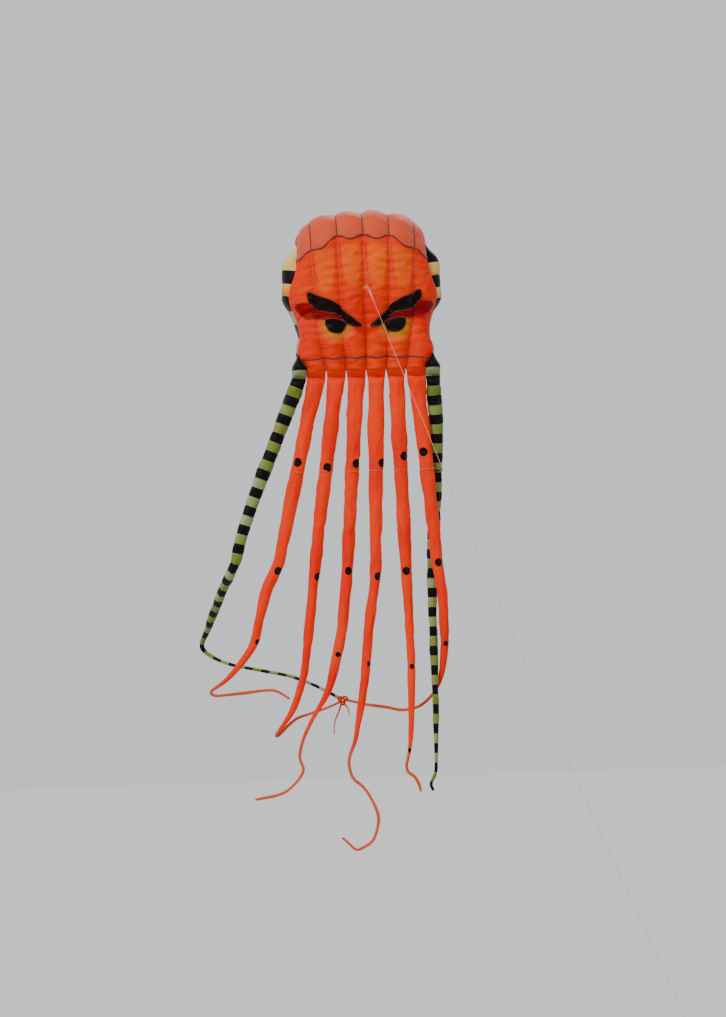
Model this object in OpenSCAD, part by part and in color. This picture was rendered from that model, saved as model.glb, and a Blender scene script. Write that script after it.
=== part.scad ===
// Octopus kite: a ram-air head of six sewn cells between two striped side cells,
// with eight long inflated legs, a three-leg bridle, a tow ring and a flying line.
// The origin is the centre of the tow ring, +Z is up and the face looks along -Y.

/* [Head] */
// Height of the head from its crown to the crotches between the legs
head_h = 1690; // [1500:10:1800]
// Height of the crown above the tow ring
crown_z = 870; // [800:10:900]
// Distance of the head's middle plane behind the tow ring, at the leg roots
root_y = 540; // [500:10:600]
// Greatest half thickness of the head at its seams
head_half_depth = 328; // [280:1:360]
// Width of a front cell at the crown
cell_w = 281; // [260:1:290]
// Width of a front cell at the crotches
cell_root_w = 214; // [210:1:220]
// How far each cell bulges between its seams
cell_bulge = 45; // [30:1:50]
// How far the crown drops at the outermost seams
corner_drop = 300; // [250:10:320]
// Thickness drawn for all cloth
cloth = 2; // [1.5:0.1:2.5]

/* [Legs] */
// Distance from the crotches down to the leg root pivots
root_drop = 80; // [75:1:100]
// Radius of an orange leg at its root
leg_root_r = 88; // [80:1:90]
// Radius of an orange leg at its knee
leg_knee_r = 62; // [58:1:64]
// Radius of a striped leg at its root
stripe_root_r = 80; // [74:1:81]
// Radius of a striped leg at its knee
stripe_knee_r = 60; // [56:1:62]
// Height of the knees below the tow ring
knee_depth = 2850; // [2800:10:2900]
// Gap between the end of an upper leg and its knee pivot
knee_gap = 30; // [25:1:40]
// Length of one band of a striped leg
band_len = 105; // [95:1:110]

/* [Bridle and line] */
// Wire radius of the tow ring
ring_wire_r = 2.5; // [2:0.1:3]
// Radius of the tow ring to the middle of its wire
ring_r = 16; // [15:0.5:20]
// Radius of a bridle line
bridle_r = 1.25; // [1:0.05:1.5]
// Diameter of the flying line
line_d = 5; // [4:0.5:5]

/* [Hidden] */

orange = [1.0, 0.36, 0.04];
coral = [1.0, 0.42, 0.25];
dark_red = [0.55, 0.03, 0.02];
red = [0.70, 0.02, 0.02];
black = [0.03, 0.02, 0.04];
yellow = [0.95, 0.85, 0.35];
olive = [0.45, 0.50, 0.15];
mustard = [0.85, 0.50, 0.20];
steel = [0.72, 0.73, 0.75];
line_colour = [0.95, 0.55, 0.30];

crotch_z = crown_z - head_h;
pivot_z = crotch_z - root_drop;
knee_z = -knee_depth;

// ---- Head surface -------------------------------------------------------
// t runs from 0 at the crown to 1 at the crotches. u counts seams: 0 is the
// middle of the face and +-3 are the seams of the striped side cells.
crown_y = root_y + 80;
seam_root_half = 30;
outer_thinning = 0.45;
outer_sweep = 140;
lip_t = 0.152;
hem_t = 0.917;

function smooth(a, b, x) = let (q = min(max((x - a) / (b - a), 0), 1)) q * q * (3 - 2 * q);
function bump(c, w, x) = exp(-pow((x - c) / w, 2));
function mix3(a, b, f) = a + (b - a) * f;
function unit(v) = v / norm(v);

function seam_half(t) = seam_root_half * t
    + head_half_depth * 2.62 * sqrt(t) * pow(1 - t, 1.1);
function mid_y(t) = crown_y - 80 * t + 90 * sin(180 * t);

// Half width of the face, drawn in at the cheeks and out again at the hem
function face_half_w(t) = 690 + 105 * bump(0.42, 0.17, t) + 40 * bump(0.85, 0.07, t)
    - 58 * smooth(0.9, 1, t);
// Half width over the striped side cells
function outer_half_w(t) = face_half_w(t) + 10 + 140 * smooth(0, 0.16, t)
    - 85 * smooth(0.16, 0.42, t) - 55 * smooth(0.42, 0.56, t) + 155 * smooth(0.88, 1, t);

function seam_x(k, t) = abs(k) < 3 ? k * (cell_w - (cell_w - cell_root_w) * t * t)
    : sign(k) * face_half_w(t);
function seam_z(k, t) = crotch_z + (1 - t) * (head_h - corner_drop * pow(abs(k) / 3, 3));
function seam_mid_y(k, t) = mid_y(t)
    + outer_sweep * pow(abs(k) / 3, 3) * (1 - smooth(0.55, 0.95, t));
function seam_depth(k, t) = seam_half(t) * (1 - outer_thinning * pow(abs(k) / 3, 3));

// side is -1 on the face and +1 on the back
function seam_point(k, t, side) =
    [seam_x(k, t), seam_mid_y(k, t) + side * seam_depth(k, t), seam_z(k, t)];
function bulge(t) = cell_bulge + 30 * t * t;

// A seam carried on over the crown, where t below 0 is on the other side
function over_crown(k, t, side) = t < 0 ? seam_point(k, -t, -side) : seam_point(k, t, side);

// Outward direction of one cell's skin, square to its seams
function skin_normal(k, t, side) =
    let (
        e = 0.006,
        t0 = t - e,
        t1 = min(t + e, 1),
        across = seam_point(k + 1, t, side) - seam_point(k, t, side),
        down = over_crown(k, t1, side) + over_crown(k + 1, t1, side)
            - over_crown(k, t0, side) - over_crown(k + 1, t0, side)
    )
    unit(cross(down, across)) * -side;

// Point on the skin of cell k, at f of its width, lifted by h from the cloth's middle
function skin_point(k, f, t, side, h) =
    mix3(seam_point(k, t, side), seam_point(k + 1, t, side), f)
    + skin_normal(k, t, side) * (bulge(t) * 4 * f * (1 - f) + h);

// ---- Closed sheets from a grid ------------------------------------------
// over and under are grids of points, rows of equal length
module sheet_solid(over, under) {
    rows = len(over);
    cols = len(over[0]);
    half = rows * cols;
    pts = concat([for (r = over) each r], [for (r = under) each r]);
    function id(r, c) = r * cols + c;
    faces = concat(
        [for (r = [0:rows - 2], c = [0:cols - 2]) each [
            [id(r, c), id(r, c + 1), id(r + 1, c + 1)],
            [id(r, c), id(r + 1, c + 1), id(r + 1, c)],
            [half + id(r, c), half + id(r + 1, c + 1), half + id(r, c + 1)],
            [half + id(r, c), half + id(r + 1, c), half + id(r + 1, c + 1)]]],
        [for (c = [0:cols - 2]) each [
            [id(0, c), half + id(0, c + 1), id(0, c + 1)],
            [id(0, c), half + id(0, c), half + id(0, c + 1)],
            [id(rows - 1, c), id(rows - 1, c + 1), half + id(rows - 1, c + 1)],
            [id(rows - 1, c), half + id(rows - 1, c + 1), half + id(rows - 1, c)]]],
        [for (r = [0:rows - 2]) each [
            [id(r, 0), id(r + 1, 0), half + id(r + 1, 0)],
            [id(r, 0), half + id(r + 1, 0), half + id(r, 0)],
            [id(r, cols - 1), half + id(r + 1, cols - 1), id(r + 1, cols - 1)],
            [id(r, cols - 1), half + id(r, cols - 1), half + id(r + 1, cols - 1)]]]
    );
    polyhedron(pts, faces);
}

seam_gap = 0.006;
cols_per_cell = 5;

// A sheet on cells k0 to k1, its middle h proud of the skin. t_of(u, q) places its rows,
// q running from 0 at its top edge to 1 at its bottom edge.
module skin_sheet(k0, k1, side, t_of, rows, h, thick) {
    us = [for (k = [k0:k1], c = [0:cols_per_cell]) if (c > 0 || k == k0)
        [k, c / cols_per_cell]];
    last = len(us) - 1;
    function grid(lift) = [for (r = [0:rows]) [for (i = [0:last])
        let (
            k = us[i][0],
            f = i == 0 ? seam_gap : i == last ? 1 - seam_gap : us[i][1]
        )
        skin_point(k, f, t_of(k + f, r / rows), side, lift)]];
    sheet_solid(grid(h - side * thick / 2), grid(h + side * thick / 2));
}

// Line of the intake lip, which droops across each cell and towards the sides
crown_t = 0.000002;
lip_line = function (u) lip_t + 0.045 * smooth(1, 2, abs(u)) - 0.05 * smooth(2, 3, abs(u))
    + 0.03 * pow(sin(180 * u), 2);
hem_line = function (u) hem_t + 0.006 * pow(sin(180 * u), 2);
tape_width_t = 0.010;

module face_gore(k) {
    rows_of = function (u, q) mix3(lip_line(u), 1, q);
    color(orange) skin_sheet(k, k, -1, rows_of, 12, 0, cloth);
}

module face_gore_1() { face_gore(-3); }
module face_gore_2() { face_gore(-2); }
module face_gore_3() { face_gore(-1); }
module face_gore_4() { face_gore(0); }
module face_gore_5() { face_gore(1); }
module face_gore_6() { face_gore(2); }

// The rows of a back gore crowd together where it turns over the crown
module back_gore_pair(k) {
    rows_of = function (u, q) mix3(crown_t, 1, pow(q, 2));
    color(orange) for (cell = [k, -k - 1])
        skin_sheet(cell, cell, 1, rows_of, 15, 0, cloth);
}

module back_gores_inner() { back_gore_pair(0); }
module back_gores_middle() { back_gore_pair(1); }
module back_gores_outer() { back_gore_pair(2); }

// Gauze over the mouth of each cell, between the crown and the lip
module intake_screens() {
    lip_gap = 0.0012;
    rows_of = function (u, q) mix3(crown_t, lip_line(u) - lip_gap, pow(q, 2.2));
    color(coral) for (k = [-3:2])
        skin_sheet(k, k, -1, rows_of, 5, 0, cloth);
}

tape_lift = cloth + 0.4;
module tape(line) {
    rows_of = function (u, q) line(u) + tape_width_t * q;
    color(dark_red) for (k = [-3:2])
        skin_sheet(k, k, -1, rows_of, 1, tape_lift, cloth);
}

module lip_tape() { tape(lip_line); }
module hem_tape() { tape(hem_line); }

// ---- Striped side cells --------------------------------------------------
// Where one band ends and the next begins, as t down the middle of each side cell
left_band_ts = [0.01, 0.19, 0.295, 0.39, 0.51, 0.62, 0.73, 0.86, 1];
right_band_ts = [0.01, 0.15, 0.25, 0.345, 0.43, 0.53, 0.64, 0.75, 0.87, 1];
band_slant = 0.05;
side_gap_deg = 1.2;

function side_turn(t) = 90 + 80 * smooth(0.75, 1, t);
function side_point(dir, w, t, lift) =
    let (
        reach = side_turn(t) - side_gap_deg,
        a = mix3(-reach, reach, w),
        ax = (outer_half_w(t) - face_half_w(t)) / (1 - cos(side_turn(t))),
        ay = seam_depth(3, t) / sin(side_turn(t)),
        cx = face_half_w(t) - ax * cos(side_turn(t)),
        out = unit([cos(a) * ay, sin(a) * ax, 0])
    )
    [
        dir * (cx + ax * cos(a) + lift * out[0]),
        seam_mid_y(3, t) + ay * sin(a) + lift * out[1],
        seam_z(3, t)
    ];

// dir is -1 on the left and +1 on the right. Every second band from first is drawn.
module side_cell_bands(dir, edges, first) {
    cols = 8;
    rows = 2;
    end_gap = 0.0006;
    last = len(edges) - 2;
    for (i = [first:2:last]) {
        t_at = function (w, r)
            let (
                slant = band_slant * (0.5 - w),
                lo = i == 0 ? edges[0] : edges[i] + slant + end_gap,
                hi = i == last ? 1 : edges[i + 1] + slant - end_gap
            )
            mix3(lo, hi, r / rows);
        grid = function (lift) [for (r = [0:rows]) [for (c = [0:cols])
            side_point(dir, c / cols, t_at(c / cols, r), lift)]];
        sheet_solid(grid(dir * cloth / 2), grid(-dir * cloth / 2));
    }
}

module side_cell_left_yellow() { color(yellow) side_cell_bands(-1, left_band_ts, 0); }
module side_cell_left_black() { color(black) side_cell_bands(-1, left_band_ts, 1); }
module side_cell_right_yellow() { color(yellow) side_cell_bands(1, right_band_ts, 1); }
module side_cell_right_black() { color(black) side_cell_bands(1, right_band_ts, 0); }

// ---- Ribs inside the head -------------------------------------------------
// Each rib joins the face seam to the back seam, with round ports that let air across.
module rib(k) {
    rows = 14;
    inset = 3;
    thick = 1.5;
    first_t = 0.02;
    port_t = [0.22, 0.42, 0.62];
    port_r = [70, 85, 65];
    ts = [for (r = [0:rows]) mix3(first_t, 1, pow(r / rows, 1.4))];
    function grid(dx) = [for (t = ts) [
        [seam_x(k, t) + dx, seam_point(k, t, -1)[1] + inset, seam_z(k, t)],
        [seam_x(k, t) + dx, seam_point(k, t, 1)[1] - inset, seam_z(k, t)]]];
    size = 1 - outer_thinning * pow(abs(k) / 3, 3);
    difference() {
        sheet_solid(grid(-thick / 2), grid(thick / 2));
        for (i = [0:2])
            translate([seam_x(k, port_t[i]) - 100, seam_mid_y(k, port_t[i]), seam_z(k, port_t[i])])
                rotate([0, 90, 0]) cylinder(h = 200, r = port_r[i] * size, $fn = 48);
    }
}

module rib_centre() { color(orange) rib(0); }
module ribs_inner() { color(orange) { rib(-1); rib(1); } }
module ribs_middle() { color(orange) { rib(-2); rib(2); } }
module ribs_outer() { color(orange) { rib(-3); rib(3); } }

// ---- Face, sewn on in layers ----------------------------------------------
// Outlines are drawn on the right half, x outwards and z up.
eyebrow_outline = [
    [610, 40], [490, -30], [305, -110], [210, -210], [40, -365], [50, -385],
    [140, -385], [220, -325], [295, -235], [450, -215], [570, -150], [625, -50]
];
eyelid_outline = [
    [775, -100], [600, -90], [500, -150], [300, -180], [220, -290], [230, -320],
    [340, -285], [450, -300], [560, -255], [655, -275]
];
eye_outline = [
    [600, -270], [600, -420], [540, -510], [440, -555], [330, -565], [220, -545],
    [130, -480], [70, -400], [150, -330], [300, -250]
];
pupil_x = 315;
pupil_z = -325;
pupil_r = 120;
patch_thick = 1.2;
patch_step = 1.7;
patch_base = 1;
patch_rows = 12;

// Cuts an outline out of a sheet that lies on the right or left half of the face
module face_patch(dir, u0, u1, t0, t1, layer) {
    rows_of = function (u, q) mix3(t0, t1, q);
    lift = cloth / 2 + patch_base + patch_step * layer;
    intersection() {
        translate([0, 700, 0]) rotate([90, 0, 0])
            linear_extrude(height = 700) scale([dir, 1]) children();
        skin_sheet(dir > 0 ? u0 : -u1 - 1, dir > 0 ? u1 : -u0 - 1, -1, rows_of, patch_rows,
            lift, patch_thick);
    }
}

module eyebrow(dir) {
    color(black) face_patch(dir, 0, 2, 0.44, 0.78, 4)
        offset(r = 12, $fn = 24) offset(delta = -12) polygon(eyebrow_outline);
}
module eyelid(dir) {
    color(red) face_patch(dir, 0, 2, 0.52, 0.74, 3) polygon(eyelid_outline);
}
module pupil(dir) {
    color(black) face_patch(dir, 0, 1, 0.60, 0.82, 2)
        translate([pupil_x, pupil_z]) circle(r = pupil_r, $fn = 64);
}
module eye(dir) {
    color(mustard) face_patch(dir, 0, 2, 0.62, 0.88, 1)
        offset(r = 20, $fn = 24) offset(delta = -20) polygon(eye_outline);
}

module eyebrow_left() { eyebrow(-1); }
module eyebrow_right() { eyebrow(1); }
module eyelid_left() { eyelid(-1); }
module eyelid_right() { eyelid(1); }
module pupil_left() { pupil(-1); }
module pupil_right() { pupil(1); }
module eye_left() { eye(-1); }
module eye_right() { eye(1); }

// ---- Bridle -----------------------------------------------------------------
tab_ts = [0.20, 0.49, 0.64];
tab_r = 26;
tab_thick = 3;
eyelet_len = 16;
eyelet_r = 5;

// Turns +Z onto the direction v
module along(v) {
    rotate([0, acos(v[2] / norm(v)), atan2(v[1], v[0])]) children();
}

function tab_face(t) = seam_point(0, t, -1) - [0, cloth / 2 + 0.5, 0];

// Round reinforcements on the middle seam, each with a stub that holds one bridle leg
module bridle_tabs() {
    color(coral) for (t = tab_ts)
        translate(tab_face(t)) along(tab_face(t) * -1) {
            cylinder(h = tab_thick, r = tab_r, $fn = 48);
            cylinder(h = eyelet_len, r = eyelet_r, $fn = 32);
        }
}

// The tow ring lies in the plane that holds the flying line and the Y axis
line_end = [2950, -2050, -8150];
line_dir = unit(line_end);
ring_axis = unit(cross(line_dir, [0, 1, 0]));

// Turns +X onto the ring's axis and +Z onto the direction v, which is square to it
module in_ring_plane(v) {
    y = cross(v, ring_axis);
    multmatrix([
        [ring_axis[0], y[0], v[0], 0],
        [ring_axis[1], y[1], v[1], 0],
        [ring_axis[2], y[2], v[2], 0],
        [0, 0, 0, 1]
    ]) children();
}

loop_play = 0.05;
bridle_loop_r = ring_wire_r + bridle_r + loop_play;

// Each bridle leg is looped round the ring's wire and runs straight to its tab
module bridle_lines() {
    color(line_colour) for (t = tab_ts) {
        tab = tab_face(t);
        end = tab * (1 - eyelet_len / norm(tab));
        out = unit(tab - ring_axis * (ring_axis * tab));
        start = out * (ring_r + bridle_loop_r);
        in_ring_plane(out) translate([0, 0, ring_r]) rotate([90, 0, 0])
            rotate_extrude($fn = 48) translate([bridle_loop_r, 0])
                circle(r = bridle_r, $fn = 24);
        translate(start) along(end - start)
            cylinder(h = norm(end - start), r = bridle_r, $fn = 24);
    }
}

module tow_ring() {
    color(steel) in_ring_plane(line_dir) rotate([0, 90, 0]) rotate_extrude($fn = 64)
        translate([ring_r, 0]) circle(r = ring_wire_r, $fn = 32);
}

// ---- Snap hook, swivel and flying line ---------------------------------------
// These are drawn along local +Z, which runs down the line. The hook's loop lies in
// the local X-Z plane, square to the ring's wire where it passes through.
hook_wire_r = 2;
hook_half_w = 8;
hook_play = 0.4;
hook_bend = ring_r - ring_wire_r - hook_wire_r - hook_play + hook_half_w;
hook_shank = 38;
hook_foot = hook_bend + hook_shank;
nose_len = 7;
barrel_r = 7;
barrel_len = 26;
barrel_start = hook_foot + hook_half_w - 3;
post_r = 2.5;
post_flange_r = 4.5;
running = 0.05;
eye_ring_r = 9;
eye_wire_r = 2;
gate_r = 1.6;
gate_gap = 0.5;
gate_pivot = hook_foot - 4;
gate_boss_r = 2.4;
gate_boss_half = 1.8;
pin_r = 1;
ear_outer = 3.6;
ear_inner = 2;

module half_loop(r, wire) {
    rotate([90, 0, 0]) rotate_extrude(angle = 180, $fn = 48)
        translate([r, 0]) circle(r = wire, $fn = 32);
}

// A cylinder along local Y between -half and +half
module cross_bar(half, r) {
    translate([0, half, 0]) rotate([90, 0, 0]) cylinder(h = 2 * half, r = r, $fn = 32);
}

// Two ears on the short side of the hook that hold the gate's pin
module gate_fork() {
    for (s = [-1, 1])
        translate([0, s * (ear_inner + ear_outer) / 2, gate_pivot]) {
            cross_bar((ear_outer - ear_inner) / 2, gate_boss_r);
            translate([-gate_boss_r, -(ear_outer - ear_inner) / 2, 0])
                cube([2 * gate_boss_r, ear_outer - ear_inner, hook_foot - gate_pivot]);
        }
    translate([-gate_boss_r, -ear_outer, hook_foot - 1.2])
        cube([2 * gate_boss_r, 2 * ear_outer, 2.4]);
    translate([0, 0, gate_pivot]) cross_bar(ear_outer, pin_r);
}

module snap_hook() {
    color(steel) in_ring_plane(line_dir) difference() {
        union() {
            translate([0, 0, hook_bend]) rotate([180, 0, 0]) half_loop(hook_half_w, hook_wire_r);
            translate([-hook_half_w, 0, hook_bend])
                cylinder(h = hook_shank, r = hook_wire_r, $fn = 32);
            translate([hook_half_w, 0, hook_bend])
                cylinder(h = nose_len, r = hook_wire_r, $fn = 32);
            translate([0, 0, hook_foot]) half_loop(hook_half_w, hook_wire_r);
            translate([0, 0, barrel_start]) cylinder(h = barrel_len, r = barrel_r, $fn = 48);
            translate([hook_half_w, 0, 0]) gate_fork();
        }
        translate([0, 0, barrel_start + 7]) cylinder(h = 8, r = post_flange_r + 0.3, $fn = 48);
        translate([0, 0, barrel_start + 14])
            cylinder(h = barrel_len, r = post_r + running, $fn = 48);
    }
}

module snap_gate() {
    tip = hook_bend + nose_len + gate_gap;
    color(steel) in_ring_plane(line_dir) translate([hook_half_w, 0, 0]) difference() {
        union() {
            translate([0, 0, tip]) cylinder(h = gate_pivot - tip, r = gate_r, $fn = 32);
            translate([0, 0, gate_pivot]) cross_bar(gate_boss_half, gate_boss_r - 0.2);
        }
        translate([0, 0, gate_pivot]) cross_bar(gate_boss_half + 1, pin_r + running);
    }
}

eye_centre = barrel_start + barrel_len + 4 + eye_ring_r;
module swivel_eye() {
    post_start = barrel_start + 9;
    color(steel) in_ring_plane(line_dir) {
        translate([0, 0, post_start]) cylinder(h = 4, r = post_flange_r, $fn = 48);
        translate([0, 0, post_start])
            cylinder(h = eye_centre - eye_ring_r - post_start, r = post_r, $fn = 48);
        translate([0, 0, eye_centre]) cross_ring(eye_ring_r, eye_wire_r);
    }
}

// A ring about local Y
module cross_ring(r, wire) {
    rotate([90, 0, 0]) rotate_extrude($fn = 48) translate([r, 0]) circle(r = wire, $fn = 32);
}

line_r = line_d / 2;
knot_len = 34;
loop_r = 6;
knot_start = eye_centre + eye_ring_r + 16;
line_start = knot_start + knot_len;
line_stop = norm(line_end) * 0.985;

// A barrel knot of three wraps along local +Z
module barrel_knot() {
    wrap = knot_len / 4;
    cylinder(h = knot_len, r = line_r + 1.5, $fn = 48);
    for (i = [1:3])
        translate([0, 0, wrap * i]) rotate_extrude($fn = 48)
            translate([line_r + 1.2, 0]) circle(r = line_r + 0.8, $fn = 32);
}

// The loop through the swivel's eye lies in the local Y-Z plane
module line_knot() {
    bend = eye_centre + eye_ring_r - eye_wire_r - line_r - hook_play + loop_r;
    color(line_colour) in_ring_plane(line_dir) {
        translate([0, 0, bend]) rotate([0, 0, 90]) rotate([180, 0, 0])
            half_loop(loop_r, line_r);
        for (s = [-1, 1])
            translate([0, s * loop_r, bend])
                cylinder(h = knot_start - bend + 6, r = line_r, $fn = 32);
        translate([0, 0, knot_start]) barrel_knot();
        translate([0, 0, knot_start + 2]) cylinder(h = 6, r = loop_r + line_r, $fn = 48);
    }
}

// Route of the flying line, from its upper knot to its end loop
line_route = [
    line_dir * line_start, [270, -182, -790], [540, -362, -1570], [820, -550, -2390],
    [1110, -745, -3210], [1405, -950, -4030], [1705, -1160, -4850], [2010, -1380, -5670],
    [2320, -1602, -6480], [2630, -1823, -7290], line_dir * line_stop
];

// Smooth curve through points, with steps rings between each pair
function spline_point(p, i, f) =
    let (
        n = len(p) - 1,
        a = p[max(i - 1, 0)],
        b = p[i],
        c = p[min(i + 1, n)],
        d = p[min(i + 2, n)]
    )
    0.5 * (2 * b + (c - a) * f + (2 * a - 5 * b + 4 * c - d) * f * f
        + (3 * b - a - 3 * c + d) * f * f * f);
function spline(p, steps) = concat(
    [for (i = [0:len(p) - 2], s = [0:steps - 1]) spline_point(p, i, s / steps)],
    [p[len(p) - 1]]
);

// A ring of points about a centre, square to the path. lead is the path's direction.
function ring_points(centre, lead, r, sides) =
    let (
        across = unit(cross(lead, [0, 1, 0])),
        other = cross(across, lead)
    )
    [for (i = [0:sides - 1])
        let (a = 360 * (i + 0.5) / sides)
        centre + r * (cos(a) * across + sin(a) * other)];
function lead_at(c, i) = unit(c[min(i + 1, len(c) - 1)] - c[max(i - 1, 0)]);

// A solid tube along a list of centres with a radius at each
module solid_sweep(centres, radii, sides) {
    n = len(centres);
    pts = [for (i = [0:n - 1]) each ring_points(centres[i], lead_at(centres, i), radii[i], sides)];
    polyhedron(pts, concat(
        [for (i = [0:n - 2], s = [0:sides - 1])
            let (s2 = (s + 1) % sides)
            each [
                [i * sides + s, i * sides + s2, (i + 1) * sides + s2],
                [i * sides + s, (i + 1) * sides + s2, (i + 1) * sides + s]]],
        [[for (s = [sides - 1:-1:0]) s]],
        [[for (s = [0:sides - 1]) (n - 1) * sides + s]]
    ));
}

line_sides = 8;
rings_per_leg = 6;
module flying_line() {
    centres = spline(line_route, rings_per_leg);
    color(line_colour) solid_sweep(centres, [for (c = centres) line_r], line_sides);
}

end_loop_r = 22;
end_loop_len = 70;

// A knotted loop that takes an anchor strop or a second length of line
module line_end_loop() {
    fork = line_stop + knot_len;
    bend = fork + end_loop_len;
    leg_from = [2, 0, fork - 4];
    leg_to = [end_loop_r, 0, bend];
    color(line_colour) in_ring_plane(line_dir) {
        translate([0, 0, line_stop]) barrel_knot();
        translate([0, 0, bend]) half_loop(end_loop_r, line_r);
        for (s = [-1, 1]) scale([s, 1, 1])
            translate(leg_from) along(leg_to - leg_from)
                cylinder(h = norm(leg_to - leg_from) + 1, r = line_r, $fn = 32);
    }
}

// ---- Legs ---------------------------------------------------------------------
leg_root_x = [-537, -321, -107, 107, 321, 537];
leg_knee = [
    [-990, 720, knee_z], [-600, 720, knee_z], [-250, 720, knee_z],
    [50, 720, knee_z], [370, 720, knee_z], [710, 720, knee_z]
];
vent_r = 30;
knee_play = 5;

// An upper leg: a domed root with an air vent, then a straight taper that ends
// short of the knee. Local +Z runs from the root pivot to the knee.
module upper_tube(from, to, r0, r1) {
    long = norm(to - from) - knee_gap;
    dome = [for (a = [asin(vent_r / r0):12:84]) [r0 * sin(a), -r0 * cos(a)]];
    inner = [for (p = dome) p * (1 - cloth / r0)];
    translate(from) along(to - from) rotate_extrude($fn = 64) polygon(concat(
        dome,
        [[r0, 0], [r1, long], [r1 - cloth, long], [r0 - cloth, 0]],
        [for (i = [len(inner) - 1:-1:0]) inner[i]]
    ));
}

module leg_upper(i) {
    color(orange)
        upper_tube([leg_root_x[i], root_y, pivot_z], leg_knee[i], leg_root_r, leg_knee_r);
}

// Routes of the lower legs, each point with the leg's radius there
leg_route = [
    [[-1060, 742, -3000, 60], [-1130, 760, -3150, 58], [-1210, 780, -3430, 52],
        [-1285, 800, -3710, 45], [-1420, 820, -3920, 34], [-1590, 840, -4100, 24],
        [-1740, 855, -4200, 16], [-1770, 872, -4235, 12], [-1720, 882, -4265, 12],
        [-1600, 890, -4260, 12], [-1350, 920, -4240, 12], [-1190, 940, -4225, 12],
        [-1060, 950, -4230, 11], [-910, 970, -4320, 9]],
    [[-615, 732, -3000, 58], [-650, 750, -3290, 52], [-690, 770, -3600, 48],
        [-740, 790, -3970, 45], [-780, 800, -4140, 40], [-880, 820, -4430, 33],
        [-990, 835, -4600, 24], [-1070, 850, -4700, 14], [-1075, 875, -4730, 11],
        [-1040, 890, -4710, 11], [-950, 895, -4620, 11], [-840, 905, -4535, 11],
        [-700, 920, -4490, 11], [-480, 950, -4420, 10], [-375, 980, -4375, 9]],
    [[-262, 728, -3000, 60], [-300, 740, -3310, 57], [-340, 750, -3620, 54],
        [-405, 758, -3900, 49], [-470, 765, -4150, 43], [-535, 770, -4310, 34],
        [-610, 775, -4430, 25], [-700, 780, -4580, 20], [-790, 790, -4770, 17],
        [-832, 800, -4940, 14], [-815, 800, -5020, 12], [-790, 800, -5080, 12],
        [-850, 800, -5190, 12], [-980, 800, -5310, 12], [-1090, 800, -5350, 12],
        [-1200, 800, -5370, 14], [-1320, 800, -5390, 8]],
    [[42, 727, -3000, 58], [0, 740, -3310, 54], [-50, 750, -3620, 51],
        [-100, 760, -4070, 47], [-160, 775, -4440, 36], [-220, 790, -4750, 24],
        [-265, 795, -4880, 18], [-302, 800, -4990, 14], [-300, 800, -5080, 12],
        [-265, 800, -5200, 12], [-180, 800, -5270, 12], [-110, 800, -5360, 12],
        [-45, 800, -5490, 12], [-5, 800, -5620, 12], [-25, 800, -5750, 12],
        [-75, 800, -5870, 12], [-165, 800, -5930, 12], [-255, 800, -5965, 12],
        [-330, 800, -5890, 11], [-400, 800, -5830, 8]],
    [[376, 728, -3000, 58], [385, 742, -3330, 52], [393, 750, -3640, 46],
        [398, 760, -4000, 42], [388, 780, -4440, 36], [375, 790, -4710, 29],
        [350, 800, -4930, 20], [312, 800, -5080, 14], [330, 800, -5150, 12],
        [400, 800, -5200, 12], [445, 800, -5290, 12], [460, 800, -5360, 9]],
    [[728, 738, -3000, 58], [757, 760, -3220, 54], [772, 800, -3490, 50],
        [775, 855, -3760, 43], [755, 905, -4010, 34], [715, 945, -4180, 25],
        [640, 972, -4320, 17], [540, 985, -4415, 13], [450, 990, -4460, 12],
        [340, 990, -4480, 12], [250, 990, -4475, 12], [150, 990, -4445, 12],
        [-80, 995, -4410, 12], [-190, 995, -4380, 10], [-305, 1000, -4350, 9]]
];

lower_sides = 10;
// Radius at which a lower leg is too thin to stay hollow
hollow_end_r = 25;

// A lower leg: a domed, vented top about its knee, then a swept tube that is hollow
// while it is wide and solid cloth where it is thin.
module lower_tube(knee, route, dome_r, steps) {
    first = [for (k = [0:2]) route[0][k]];
    lead = unit(first - knee);
    tube = spline(route, steps);
    dome_angles = [25, 50, 75];
    path = concat(
        [for (a = dome_angles) knee - lead * dome_r * cos(a)],
        [knee + lead * 4],
        [for (p = tube) [p[0], p[1], p[2]]]
    );
    radii = concat(
        [for (a = dome_angles) dome_r * sin(a)], [dome_r], [for (p = tube) p[3]]
    );
    n = len(path);
    inner_n = len([for (i = [0:n - 1]) if (i < 4 || radii[i] > hollow_end_r) i]);
    rings = [for (i = [0:n - 1]) ring_points(path[i], lead_at(path, i), radii[i], lower_sides)];
    inner = [for (i = [0:inner_n - 1])
        ring_points(path[i] + (i < 3 ? lead * cloth * cos(dome_angles[i]) : [0, 0, 0]),
            lead_at(path, i), radii[i] - cloth, lower_sides)];
    m = lower_sides;
    base = n * m;
    polyhedron(
        concat([for (r = rings) each r], [for (r = inner) each r]),
        concat(
            [for (i = [0:n - 2], s = [0:m - 1]) let (s2 = (s + 1) % m) each [
                [i * m + s, i * m + s2, (i + 1) * m + s2],
                [i * m + s, (i + 1) * m + s2, (i + 1) * m + s]]],
            [for (i = [0:inner_n - 2], s = [0:m - 1]) let (s2 = (s + 1) % m) each [
                [base + i * m + s, base + (i + 1) * m + s2, base + i * m + s2],
                [base + i * m + s, base + (i + 1) * m + s, base + (i + 1) * m + s2]]],
            [for (s = [0:m - 1]) let (s2 = (s + 1) % m) each [
                [s, base + s, base + s2], [s, base + s2, s2]]],
            [[for (s = [0:m - 1]) (n - 1) * m + s]],
            [[for (s = [m - 1:-1:0]) base + (inner_n - 1) * m + s]]
        )
    );
}

module leg_lower(i) {
    color(orange) lower_tube(leg_knee[i], leg_route[i], leg_knee_r - knee_play, 2);
}

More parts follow.
